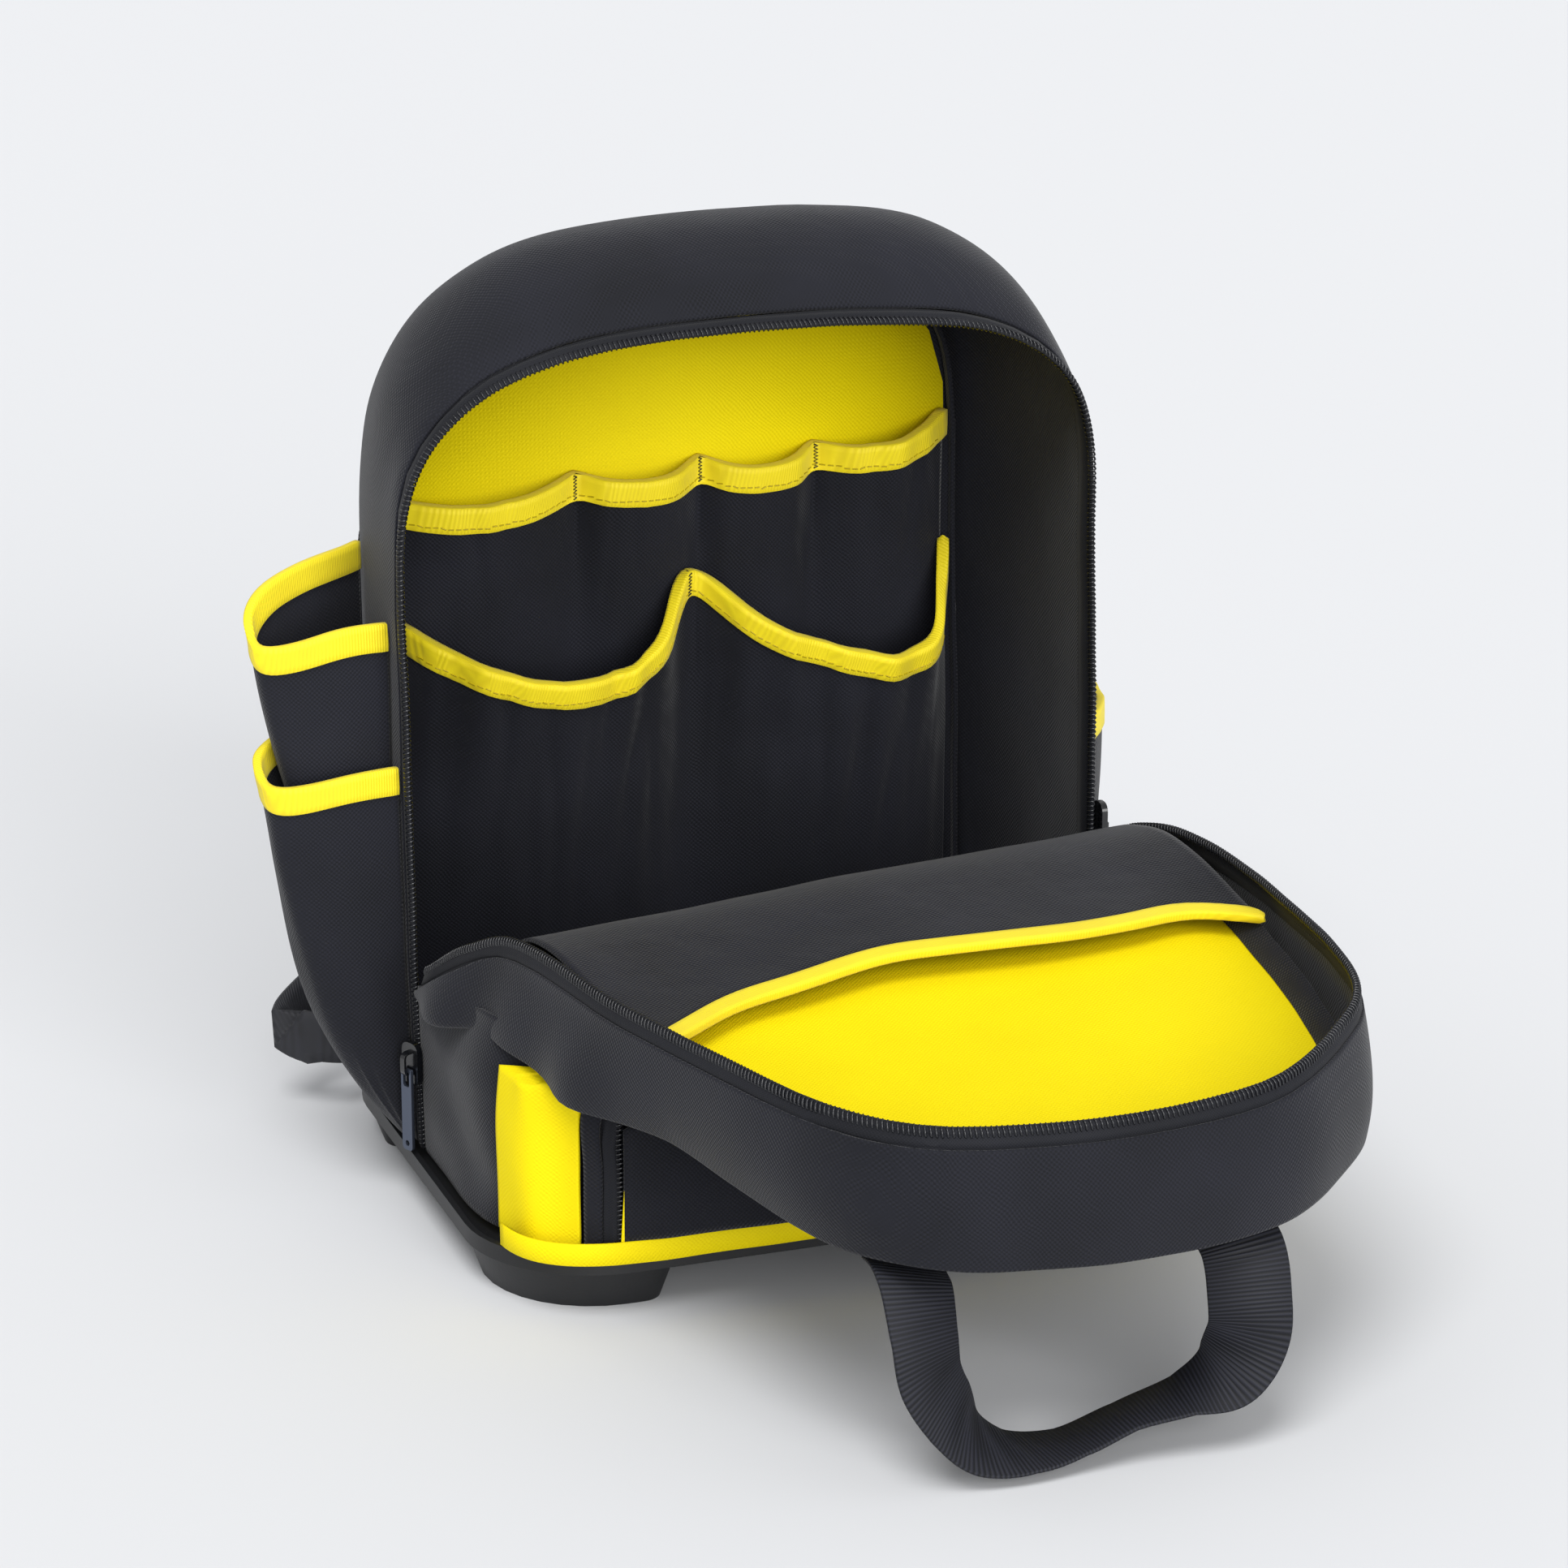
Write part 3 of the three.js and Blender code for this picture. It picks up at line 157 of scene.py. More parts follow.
def moulded(name, colour, roughness, grain_mm, relief_mm):
    """Moulded plastic: one colour with a fine grain in the surface."""
    material, tree, shader = new_finish(name)
    place = add(tree, "ShaderNodeTexCoord").outputs["Object"]
    grain = add(tree, "ShaderNodeTexNoise", {"Vector": place, "Scale": 1000 / grain_mm, "Detail": 3.0})
    bump = add(tree, "ShaderNodeBump", {
        "Height": grain.outputs["Fac"], "Distance": relief_mm / 1000, "Strength": 0.6,
    })
    scuff = add(tree, "ShaderNodeTexNoise", {"Vector": place, "Scale": 22.0, "Detail": 4.0})
    tone = add(tree, "ShaderNodeMix", {
        "Factor": scuff.outputs["Fac"], "A": linear(colour[0]), "B": linear(colour[1]),
    }, data_type="RGBA")
    tree.links.new(tone.outputs["Result"], shader.inputs["Base Color"])
    tree.links.new(bump.outputs["Normal"], shader.inputs["Normal"])
    shader.inputs["Roughness"].default_value = roughness
    shader.inputs["IOR"].default_value = 1.5
    return material


def moulding(node, material, bevel_mm, body="bag"):
    """A hard piece from a CAD node: its curved faces smooth and its edges rounded."""
    flat, edge_turn = math.radians(1), math.radians(33)
    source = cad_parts[node]
    mesh = bmesh.new()
    mesh.from_mesh(source.data)
    bmesh.ops.remove_doubles(mesh, verts=mesh.verts, dist=1e-5)
    bmesh.ops.dissolve_limit(
        mesh, angle_limit=flat, use_dissolve_boundaries=False, verts=mesh.verts, edges=mesh.edges,
    )
    for edge in mesh.edges:
        edge.smooth = len(edge.link_faces) == 2 and edge.calc_face_angle() < edge_turn
    for face in mesh.faces:
        face.smooth = True
    piece = new_piece(node + "_moulded", mesh)
    piece.data.materials.append(material)
    rounded = piece.modifiers.new("rounded", "BEVEL")
    rounded.width = bevel_mm / 1000
    rounded.segments = 2
    rounded.limit_method = "ANGLE"
    rounded.angle_limit = edge_turn
    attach(piece, body)
    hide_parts(node)
    return piece


grained_plastic = moulded("moulded_polypropylene", ("#0B0C0E", "#131417"), 0.5, 1.4, 0.12)
moulding("base_tray", grained_plastic, 1.2)


# Main bag
# The side and top wall is one long piece of black 600 denier polyester with a plain weave and a
# coated back. It is sewn to the zip in front, to the back panel behind and to the base below.

def woven(name, dark, light, thread_mm, relief_mm, rough=0.72, sheen=0.25):
    """Plain woven cloth. The real threads are 0.6 mm apart, drawn coarser here so that they show."""
    material, tree, shader = new_finish(name)
    place = add(tree, "ShaderNodeTexCoord").outputs["Object"]
    uneven = add(tree, "ShaderNodeTexNoise", {"Vector": place, "Scale": 70.0, "Detail": 2.0})
    wobble = add(tree, "ShaderNodeMath", {0: uneven.outputs["Fac"], 1: 9.0}, operation="MULTIPLY")
    along = add(tree, "ShaderNodeSeparateXYZ", {"Vector": place})
    normal = add(tree, "ShaderNodeNewGeometry").outputs["Normal"]
    facing = add(tree, "ShaderNodeSeparateXYZ", {"Vector": normal})
    waves = {}
    for axis in "XYZ":
        turns = add(tree, "ShaderNodeMath", {
            0: along.outputs[axis], 1: 2000 * math.pi / thread_mm, 2: wobble.outputs[0],
        }, operation="MULTIPLY_ADD")
        waves[axis] = add(tree, "ShaderNodeMath", {0: turns.outputs[0]}, operation="SINE").outputs[0]
    total = None
    for axis, (one, other) in {"X": "YZ", "Y": "XZ", "Z": "XY"}.items():
        cross = add(tree, "ShaderNodeMath", {0: waves[one], 1: waves[other]}, operation="MULTIPLY")
        share = add(tree, "ShaderNodeMath", {
            0: facing.outputs[axis], 1: facing.outputs[axis],
        }, operation="MULTIPLY")
        inputs = {0: cross.outputs[0], 1: share.outputs[0]}
        if total is not None:
            inputs[2] = total
        total = add(tree, "ShaderNodeMath", inputs, operation="MULTIPLY_ADD").outputs[0]
        if len(inputs) == 2:
            total.node.inputs[2].default_value = 0.0
    patch = add(tree, "ShaderNodeTexNoise", {"Vector": place, "Scale": 14.0, "Detail": 5.0})
    mix = add(tree, "ShaderNodeMath", {
        0: total, 1: 0.34, 2: patch.outputs["Fac"],
    }, operation="MULTIPLY_ADD")
    tone = add(tree, "ShaderNodeMix", {
        "Factor": mix.outputs[0], "A": linear(dark), "B": linear(light),
    }, data_type="RGBA")
    bump = add(tree, "ShaderNodeBump", {
        "Height": total, "Distance": relief_mm / 1000, "Strength": 0.6,
    })
    tree.links.new(tone.outputs["Result"], shader.inputs["Base Color"])
    tree.links.new(bump.outputs["Normal"], shader.inputs["Normal"])
    shader.inputs["Roughness"].default_value = rough
    shader.inputs["Specular IOR Level"].default_value = 0.16
    shader.inputs["Sheen Weight"].default_value = sheen
    shader.inputs["Sheen Roughness"].default_value = 0.45
    return material


black_polyester = woven("black_600_denier_polyester", "#090A0D", "#20212A", 2.1, 0.24, 0.72, 0.14)
yellow_polyester = woven("yellow_polyester", "#E2CB00", "#EEDA02", 2.1, 0.12, 0.72, 0.0)


# Without a seed the noise starts from the clock, and the cloth would change from run to run.
noise.seed_set(11)


def stir(place):
    """Shallow unevenness of sewn cloth, one field for every soft piece, so that seams stay together:
    swells of 110 mm and of 33 mm, up to 1.6 and 0.5 mm deep."""
    broad = noise.noise_vector((place - bag) * 9) * 0.0016
    close = noise.noise_vector((place - bag) * 30) * 0.0005
    return broad + close


def as_seen(piece):
    """The piece with its modifiers or its thickness applied."""
    bpy.context.view_layer.update()
    return piece.evaluated_get(bpy.context.evaluated_depsgraph_get())


def cloth_piece(node, levels, crease_angle=48, crease=1.0, extra=None):
    """A soft piece from a CAD wall: quads joined again, rounded through the wall's own corners so
    that it doesn't shrink off its seams, and given its folds."""
    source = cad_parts[node]
    mesh = bmesh.new()
    mesh.from_mesh(source.data)
    mesh.transform(source.matrix_world)
    bmesh.ops.remove_doubles(mesh, verts=mesh.verts, dist=1e-5)
    bmesh.ops.join_triangles(
        mesh, faces=mesh.faces,
        angle_face_threshold=math.radians(38), angle_shape_threshold=math.radians(60),
    )
    sharp = mesh.edges.layers.float.new("crease_edge")
    for edge in mesh.edges:
        if len(edge.link_faces) == 2 and edge.calc_face_angle() > math.radians(crease_angle):
            edge[sharp] = crease
    piece = new_piece(node + "_cloth", mesh)
    if levels:
        smooth = piece.modifiers.new("rounded", "SUBSURF")
        smooth.levels = smooth.render_levels = levels
        wanted = [vertex.co.copy() for vertex in piece.data.vertices]
        for _ in range(3):
            rounded = as_seen(piece).data
            missed = [place - rounded.vertices[i].co for i, place in enumerate(wanted)]
            for vertex, miss in zip(piece.data.vertices, missed):
                vertex.co += miss
            piece.data.update()
        piece.data = bpy.data.meshes.new_from_object(as_seen(piece))
        piece.modifiers.clear()
    for vertex in piece.data.vertices:
        vertex.co += stir(vertex.co)
        if extra:
            vertex.co += extra(vertex.co)
    piece.data.shade_smooth()
    return piece


def sewn(piece, material, slot, *nodes):
    """Finishes a piece that belongs to the bag and stands for the CAD nodes that are named."""
    piece.data.materials.clear()
    piece.data.materials.append(material)
    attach(piece, "bag")
    if nodes:
        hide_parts(*nodes)
    return piece


sewn(cloth_piece("body_gusset", 3), black_polyester, "black_cloth", "body_gusset")


# Back
# A padded panel behind, foam between two cloths, and inside it a flat yellow lining. A black
# tape binds the seam between the panel and the side wall.

back_panel = sewn(cloth_piece("back_panel", 2, 70), black_polyester, "black_cloth", "back_panel")


back_lining = sewn(cloth_piece("back_lining", 0), yellow_polyester, "yellow_cloth", "back_lining")
sewn(cloth_piece("back_seam_binding", 2, 60, 0.7), black_polyester, "black_cloth", "back_seam_binding")


# Pockets on the back wall
# Two rows of black cloth pockets sewn one over the other. Each row's edge is bound with a ribbed
# yellow tape, folded over and sewn through, and full cloth falls in soft upright folds.

def grosgrain(name, dark, light, rib_mm):
    """Ribbed tape: fine ribs across its length."""
    material, tree, shader = new_finish(name)
    place = add(tree, "ShaderNodeTexCoord").outputs["Object"]
    along = add(tree, "ShaderNodeSeparateXYZ", {"Vector": place})
    run = add(tree, "ShaderNodeMath", {0: along.outputs["X"], 1: along.outputs["Y"]}, operation="ADD")
    turns = add(tree, "ShaderNodeMath", {
        0: run.outputs[0], 1: 2000 * math.pi / rib_mm,
    }, operation="MULTIPLY")
    rib = add(tree, "ShaderNodeMath", {0: turns.outputs[0]}, operation="SINE")
    patch = add(tree, "ShaderNodeTexNoise", {"Vector": place, "Scale": 40.0, "Detail": 3.0})
    mix = add(tree, "ShaderNodeMath", {
        0: rib.outputs[0], 1: 0.18, 2: patch.outputs["Fac"],
    }, operation="MULTIPLY_ADD")
    tone = add(tree, "ShaderNodeMix", {
        "Factor": mix.outputs[0], "A": linear(dark), "B": linear(light),
    }, data_type="RGBA")
    bump = add(tree, "ShaderNodeBump", {
        "Height": rib.outputs[0], "Distance": 0.00016, "Strength": 0.5,
    })
    tree.links.new(tone.outputs["Result"], shader.inputs["Base Color"])
    tree.links.new(bump.outputs["Normal"], shader.inputs["Normal"])
    shader.inputs["Roughness"].default_value = 0.66
    shader.inputs["Sheen Weight"].default_value = 0.1
    return material


yellow_tape = grosgrain("yellow_grosgrain", "#DCC400", "#F2DE04", 1.5)


ROW_WALL, ROW_REACH = 101, 22
ROW_FOOT, ROW_RISE = 40, 120
FOLD_WIDTH, FOLD_LENGTH, FOLD_DEPTH = 17, 140, 0.0078
CREASE_WIDTH, CREASE_LENGTH, CREASE_DEPTH = 8, 60, 0.0014


def row_folds(place):
    """Upright folds that grow towards the front and fade at the wall and towards the foot."""
    here = (place - bag) * 1000
    stand = min(1.0, max(0.0, (ROW_WALL - here.y) / ROW_REACH))
    high = min(1.0, max(0.0, (here.z - ROW_FOOT) / ROW_RISE))
    fold = noise.noise(Vector((here.x / FOLD_WIDTH, 3.1, here.z / FOLD_LENGTH)))
    crease = noise.noise(Vector((here.x / CREASE_WIDTH, 7.7, here.z / CREASE_LENGTH)))
    forward = abs(fold) * FOLD_DEPTH + crease * CREASE_DEPTH
    return Vector((0, -forward, 0)) * stand * (0.35 + 0.65 * high)


upper_row = sewn(cloth_piece("upper_row", 3, extra=row_folds), black_polyester, "black_cloth", "upper_row")
lower_row = sewn(cloth_piece("lower_row", 3, extra=row_folds), black_polyester, "black_cloth", "lower_row")
for name in ("upper_row_binding", "lower_row_binding"):
    sewn(cloth_piece(name, 2, 60, 0.75, row_folds), yellow_tape, "yellow_cloth", name)


# Front wall and flap
# The low wall round the front is the same cloth as the sides. The front panel hangs from it, with
# its own side wall, a yellow lining inside and a black pocket across the hinge end.

FLAP_HINGE = Vector((10, -86, 160))
FLAP_TURN = math.radians(9)
flap_axis = Vector((math.sin(FLAP_TURN), -math.cos(FLAP_TURN), 0))
flap_side = Vector((math.cos(FLAP_TURN), math.sin(FLAP_TURN), 0))
FLAP_HALF, FLAP_LENGTH, GUSSET_HEIGHT = 172, 300, 60


def eased(value, low, high):
    """Rises softly from 0 to 1 between two values."""
    share = min(1, max(0, (value - low) / (high - low)))
    return share * share * (3 - 2 * share)


def wing_drape(place):
    """The flap's left wing hangs over the low wall: its foot goes out and down onto the wall."""
    here = (place - bag) * 1000 - FLAP_HINGE
    along = here.dot(flap_axis) / FLAP_LENGTH
    across = here.dot(flap_side) / FLAP_HALF
    if across > -0.5:
        return Vector()
    near = eased(along, -0.34, -0.12) * (1 - eased(along, 0.20, 0.46))
    low = eased(-here.z, 6, 48)
    fold = 2.2 * math.sin(along * 31) * low * near
    return (flap_side * (-15 * low * near - fold) - Vector((0, 0, 7 * low * near))) / 1000


def section_lift(place):
    """The left end of the low wall's edge leans in and up to meet the flap."""
    here = (place - bag) * 1000
    if here.x > -60:
        return Vector()
    near = (1 - eased(-here.y, 140, 156)) * eased(-here.y, 16, 40)
    high = eased(here.z, 92, 120)
    return Vector((5.5, 2, 6)) * near * high / 1000


sewn(cloth_piece("front_section", 3, extra=section_lift), black_polyester, "black_cloth", "front_section")
sewn(cloth_piece("flap_gusset", 3, extra=wing_drape), black_polyester, "black_cloth", "flap_gusset")
sewn(cloth_piece("flap_panel", 2), black_polyester, "black_cloth", "flap_panel")
flap_lining = sewn(cloth_piece("flap_lining", 3), yellow_polyester, "yellow_cloth", "flap_lining")
flap_pocket = sewn(cloth_piece("flap_pocket", 3), black_polyester, "black_cloth", "flap_pocket")
sewn(cloth_piece("flap_pocket_binding", 2, 60, 0.75), yellow_tape, "yellow_cloth", "flap_pocket_binding")


# Front pocket
# A bellows pocket: a yellow gusset folded in pleats, a black band, a closed zip and a black face,
# with a yellow strip sewn along its foot.

for name, material, slot in (
    ("pocket_gusset", yellow_polyester, "yellow_cloth"),
    ("pocket_band", black_polyester, "black_cloth"),
    ("pocket_face", black_polyester, "black_cloth"),
):
    sewn(cloth_piece(name, 3 if name == "pocket_gusset" else 2), material, slot, name)


def ribbon(name, stations, width, thickness):
    """A flat strip through stations that give a place, the way across and the way its face looks,
    in millimetres, with a map whose second number runs along it."""
    half, thin = width / 2, thickness / 2
    round_off = thin * 0.6
    section = (
        (-half + round_off, -thin), (half - round_off, -thin),
        (half, -thin + round_off), (half, thin - round_off),
        (half - round_off, thin), (-half + round_off, thin),
        (-half, thin - round_off), (-half, -thin + round_off),
    )
    mesh = bmesh.new()
    chart = mesh.loops.layers.uv.new("length")
    rings, run = [], 0.0
    for i, (place, across, face) in enumerate(stations):
        if i:
            run += (place - stations[i - 1][0]).length
        ring = []
        for a, b in section:
            spot = on_bag(*(place + across * a + face * b))
            ring.append(mesh.verts.new(spot + stir(spot)))
        rings.append((run, ring))
    for (before, last), (after, ring) in zip(rings, rings[1:]):
        for k in range(len(section)):
            after_k = (k + 1) % len(section)
            side = mesh.faces.new((last[k], last[after_k], ring[after_k], ring[k]))
            side.smooth = True
            corners = ((before, k), (before, after_k), (after, after_k), (after, k))
            for loop, (way, at) in zip(side.loops, corners):
                loop[chart].uv = (section[at][0] / 1000, way / 1000)
    mesh.faces.new(rings[0][1])
    mesh.faces.new(list(reversed(rings[-1][1])))
    bmesh.ops.recalc_face_normals(mesh, faces=mesh.faces)
    return new_piece(name, mesh)


STRIP_FRONT, STRIP_HALF, STRIP_CORNER, STRIP_TURN = 178.4, 172, 55, math.radians(72)
STRIP_HEIGHT, STRIP_WIDTH, STRIP_WALL, STRIP_TUCK = 32.6, 10.8, 1.5, 6
strip_stations = []
flat = STRIP_HALF - STRIP_CORNER
for i in range(81):
    way = i / 40 - 1
    run = abs(way) * (flat + STRIP_CORNER * STRIP_TURN)
    side = -1 if way < 0 else 1
    turn = max(0, run - flat) / STRIP_CORNER
    out = Vector((side * math.sin(turn), -math.cos(turn), 0))
    reach = STRIP_CORNER - STRIP_TUCK * (turn / STRIP_TURN) ** 2
    x = min(run, flat) + reach * math.sin(turn)
    y = STRIP_CORNER - STRIP_FRONT - reach * math.cos(turn)
    strip_stations.append((Vector((side * x, y, STRIP_HEIGHT)), Vector((0, 0, 1)), out))
foot_strip = ribbon("foot_strip", strip_stations, STRIP_WIDTH, STRIP_WALL)
sewn(foot_strip, yellow_polyester, "yellow_cloth", "pocket_strip")

# Beside the zip the pocket's yellow inside shows a little.
sliver = [
    (Vector((-117.2 + i * 0.06, -177.4, 37 + i)), Vector((1, 0, 0)), Vector((0, -1, 0)))
    for i in range(34)
]
sewn(ribbon("pocket_sliver", sliver, 2.6, 0.8), yellow_polyester, "yellow_cloth")


# Side pockets
# Two on each side, one over the other, cut fuller than the side so that their mouths stand open.
# Their edges are bound like the rows inside.

SLACK_WIDTH, SLACK_LENGTH, SLACK_DEPTH = 15, 70, 2.6
POCKET_SEAM, POCKET_FULL = 172, 190


def pocket_folds(place):
    """Slack upright folds in the pockets, which fade at the seams on the bag's side."""
    here = (place - bag) * 1000
    slack = noise.noise(Vector((here.y / SLACK_WIDTH, here.z / SLACK_LENGTH, 2.0)))
    return Vector((slack * SLACK_DEPTH * eased(abs(here.x), POCKET_SEAM, POCKET_FULL), 0, 0)) / 1000


for side in ("left", "right"):
    for level in ("upper", "lower"):
        name = f"{side}_{level}_pocket"
        panel = sewn(cloth_piece(name, 3, extra=pocket_folds), black_polyester, "black_cloth", name)
        binding = name + "_binding"
        sewn(cloth_piece(binding, 2, 60, 0.75, pocket_folds), yellow_tape, "yellow_cloth", binding)


# Handle and straps
# The grab handle is one length of black ribbed webbing, sewn into the end of the flap and half
# turned at its two lower corners. Two padded shoulder straps hang behind, and below each a
# plastic adjuster carries a narrow webbing to the bag's lower corner.

black_webbing, webbing_tree, webbing_shader = new_finish("black_ribbed_webbing")
webbing_map = add(webbing_tree, "ShaderNodeSeparateXYZ", {
    "Vector": add(webbing_tree, "ShaderNodeTexCoord").outputs["UV"],
})
webbing_turns = add(webbing_tree, "ShaderNodeMath", {
    0: webbing_map.outputs["Y"], 1: 2000 * math.pi / 1.9,
}, operation="MULTIPLY")
webbing_rib = add(webbing_tree, "ShaderNodeMath", {0: webbing_turns.outputs[0]}, operation="SINE")
webbing_tone = add(webbing_tree, "ShaderNodeMapRange", {
    "Value": webbing_rib.outputs[0], "From Min": -1.0,
})
webbing_mix = add(webbing_tree, "ShaderNodeMix", {
    "Factor": webbing_tone.outputs["Result"], "A": linear("#0F1014"), "B": linear("#24252D"),
}, data_type="RGBA")
webbing_bump = add(webbing_tree, "ShaderNodeBump", {
    "Height": webbing_rib.outputs[0], "Distance": 0.0002, "Strength": 0.6,
})
webbing_tree.links.new(webbing_mix.outputs["Result"], webbing_shader.inputs["Base Color"])
webbing_tree.links.new(webbing_bump.outputs["Normal"], webbing_shader.inputs["Normal"])
webbing_shader.inputs["Roughness"].default_value = 0.6
webbing_shader.inputs["Specular IOR Level"].default_value = 0.25


def curve_through(rows):
    """A centripetal curve through a table's rows, whose share of the way is counted in rows."""
    rows = [Vector(row) for row in rows]
    ends = [rows[0] * 2 - rows[1]] + rows + [rows[-1] * 2 - rows[-2]]

    def at(t):
        place = min(max(t, 0), 1) * (len(rows) - 1)
        i = min(int(place), len(rows) - 2)
        a, b, c, d = ends[i:i + 4]
        before, here, after = ((q - p).length ** 0.5 for p, q in ((a, b), (b, c), (c, d)))
        leave = ((b - a) / before - (c - a) / (before + here) + (c - b) / here) * here
        arrive = ((c - b) / here - (d - b) / (here + after) + (d - c) / after) * here
        u = place - i
        cubic = (b - c) * 2 + leave + arrive
        square = (c - b) * 3 - leave * 2 - arrive
        return cubic * u ** 3 + square * u ** 2 + leave * u + b

    return at


# Across and beyond the flap's end, the height, and the webbing's turn in degrees.
flap_end = FLAP_HINGE + flap_axis * FLAP_LENGTH
HANDLE_WIDTH, HANDLE_WALL = 36, 2.0
handle_rows = (
    (-107, 34, 93, 0), (-108, 14, 88, 12), (-108, 3, 70, 20), (-106, 1, 52, 22), (-97, 2, 34, 30),
    (-84, 4, 17, 48), (-64, 6, 8.5, 74), (-40, 8, 8, 86), (-15, 8, 16, 88), (10, 6, 23, 80),
    (28, 3, 32, 50), (37, 1, 50, 22), (37, 1, 68, 18), (36, 8, 88, 12), (35, 34, 94, 0),
)
handle_path = curve_through([
    (flap_end.x + across, flap_end.y + beyond, height) for across, beyond, height, _ in handle_rows
])
handle_stations = []
for i in range(141):
    t = i / 140
    row = min(int(t * (len(handle_rows) - 1)), len(handle_rows) - 2)
    share = t * (len(handle_rows) - 1) - row
    turn = math.radians(handle_rows[row][3] * (1 - share) + handle_rows[row + 1][3] * share)
    along = (handle_path(min(1, t + 0.004)) - handle_path(max(0, t - 0.004))).normalized()
    side = along.cross(Vector((0, -1, 0.2))).normalized()
    across = side * math.cos(turn) + side.cross(along).normalized() * math.sin(turn)
    handle_stations.append((handle_path(t), across, across.cross(along).normalized()))
handle_webbing = ribbon("handle_webbing", handle_stations, HANDLE_WIDTH, HANDLE_WALL)
sewn(handle_webbing, black_webbing, "webbing", "handle")

strap_webbing = grosgrain("black_strap_webbing", "#101115", "#24252D", 1.8)
moulded_acetal = moulded("moulded_acetal", ("#0C0D10", "#131418"), 0.32, 0.9, 0.05)
for side in ("left", "right"):
    strap = sewn(cloth_piece(side + "_strap", 3, 80), black_polyester, "black_cloth", side + "_strap")
    sewn(cloth_piece(side + "_webbing", 2, 60), strap_webbing, "webbing", side + "_webbing")
    moulding(side + "_buckle", moulded_acetal, 0.5)


# Zips
# Nylon coil zips on woven tape. One half runs round the opening of the bag, the other round the
# flap. The coil is a nylon wire wound on the tape's edge and sewn down, black and glossy.

coil_nylon, _, coil_shader = new_finish("black_nylon_coil")
coil_shader.inputs["Base Color"].default_value = linear("#15161A")
coil_shader.inputs["Roughness"].default_value = 0.24
coil_shader.inputs["IOR"].default_value = 1.53
zip_tape = woven("black_zip_tape", "#0F1013", "#222329", 1.3, 0.08, 0.7, 0.05)
for name in ("body_zip", "flap_zip", "pocket_zip"):
    sewn(cloth_piece(name, 1, 60, 0.6), zip_tape, "zip", name)

OPENING_HALF, OPENING_TOP, ARCH_SPRING = 170, 408, 300
HEM_HALF, HEM_TOP, HEM_TUCK = 1.003, 413.9, 1.9
BODY_LEAN, BODY_BASE = 0.028, 27.4
LEFT_SQUARE, RIGHT_SQUARE = 2.9, 3.4


def arch(t, half, top):
    """The outline of the bag seen from the front: two legs, then an arch squarer on its right."""
    leg = 0.28
    if t < leg or t > 1 - leg:
        side = -1 if t < leg else 1
        z = BODY_BASE + (ARCH_SPRING - BODY_BASE) * min(t, 1 - t) / leg
        return side * half * (1 + side * BODY_LEAN * max(0, 1 - z / ARCH_SPRING)), z
    angle = math.pi * (1 - (t - leg) / (1 - 2 * leg))
    square = LEFT_SQUARE if angle > math.pi / 2 else RIGHT_SQUARE
    x = math.copysign(half * abs(math.cos(angle)) ** (2 / square), math.cos(angle))
    return x, ARCH_SPRING + (top - ARCH_SPRING) * max(0, math.sin(angle)) ** (2 / square)


def body_coil(t):
    """Free edge of the opening's zip, the edge of the wall that its tape is sewn to, and how the
    tape goes on, hidden behind the wall."""
    x, z = arch(t, OPENING_HALF, OPENING_TOP)
    across, up = arch(t, OPENING_HALF * HEM_HALF, HEM_TOP)
    if z < ARCH_SPRING:
        inward = Vector((-math.copysign(1, x), 0, 0))
    else:
        inward = Vector((-x, 0, ARCH_SPRING - z)).normalized()
    foot = Vector((across, -8.6, up)) + inward * HEM_TUCK
    return Vector((x, -18, z)), foot, inward * 0.6 + Vector((0, 5, 0))


# Across in half widths of the flap, along in lengths of it, and up in heights of its side wall.
flap_rim = curve_through((
    (-0.955, -0.270, -0.62), (-0.945, -0.130, -0.22), (-0.915, 0.010, 0.02), (-0.905, 0.320, 0.05),
    (-0.855, 0.520, 0.05), (-0.775, 0.770, 0.03), (-0.625, 0.905, 0.02), (-0.350, 0.985, 0.02),
    (-0.020, 1.020, 0.02), (0.290, 1.005, 0.05), (0.560, 0.915, 0.10), (0.755, 0.810, 0.16),
    (0.850, 0.650, 0.20), (0.970, 0.300, 0.20), (1.000, 0.100, 0.15), (0.985, 0.005, 0.05),
    (0.990, -0.105, -0.28),
))


def flap_place(t):
    """A place on the flap's rim."""
    across, along, rise = flap_rim(t)
    spot = FLAP_HINGE + flap_side * across * FLAP_HALF + flap_axis * along * FLAP_LENGTH
    return spot + Vector((0, 0, rise * GUSSET_HEIGHT))


def flap_coil(t):
    """The same for the flap's zip, whose tape goes a little out and down."""
    along = (flap_place(min(1, t + 0.01)) - flap_place(max(0, t - 0.01))).normalized()
    outward = along.cross(Vector((0, 0, 1))).normalized() * -1
    spot = flap_place(t)
    if outward.dot(spot - (FLAP_HINGE + flap_axis * 120)) < 0:
        outward = -outward
    return spot, spot + outward * 2.6 - Vector((0, 0, 8.2)), outward * 0.8 - Vector((0, 0, 5))


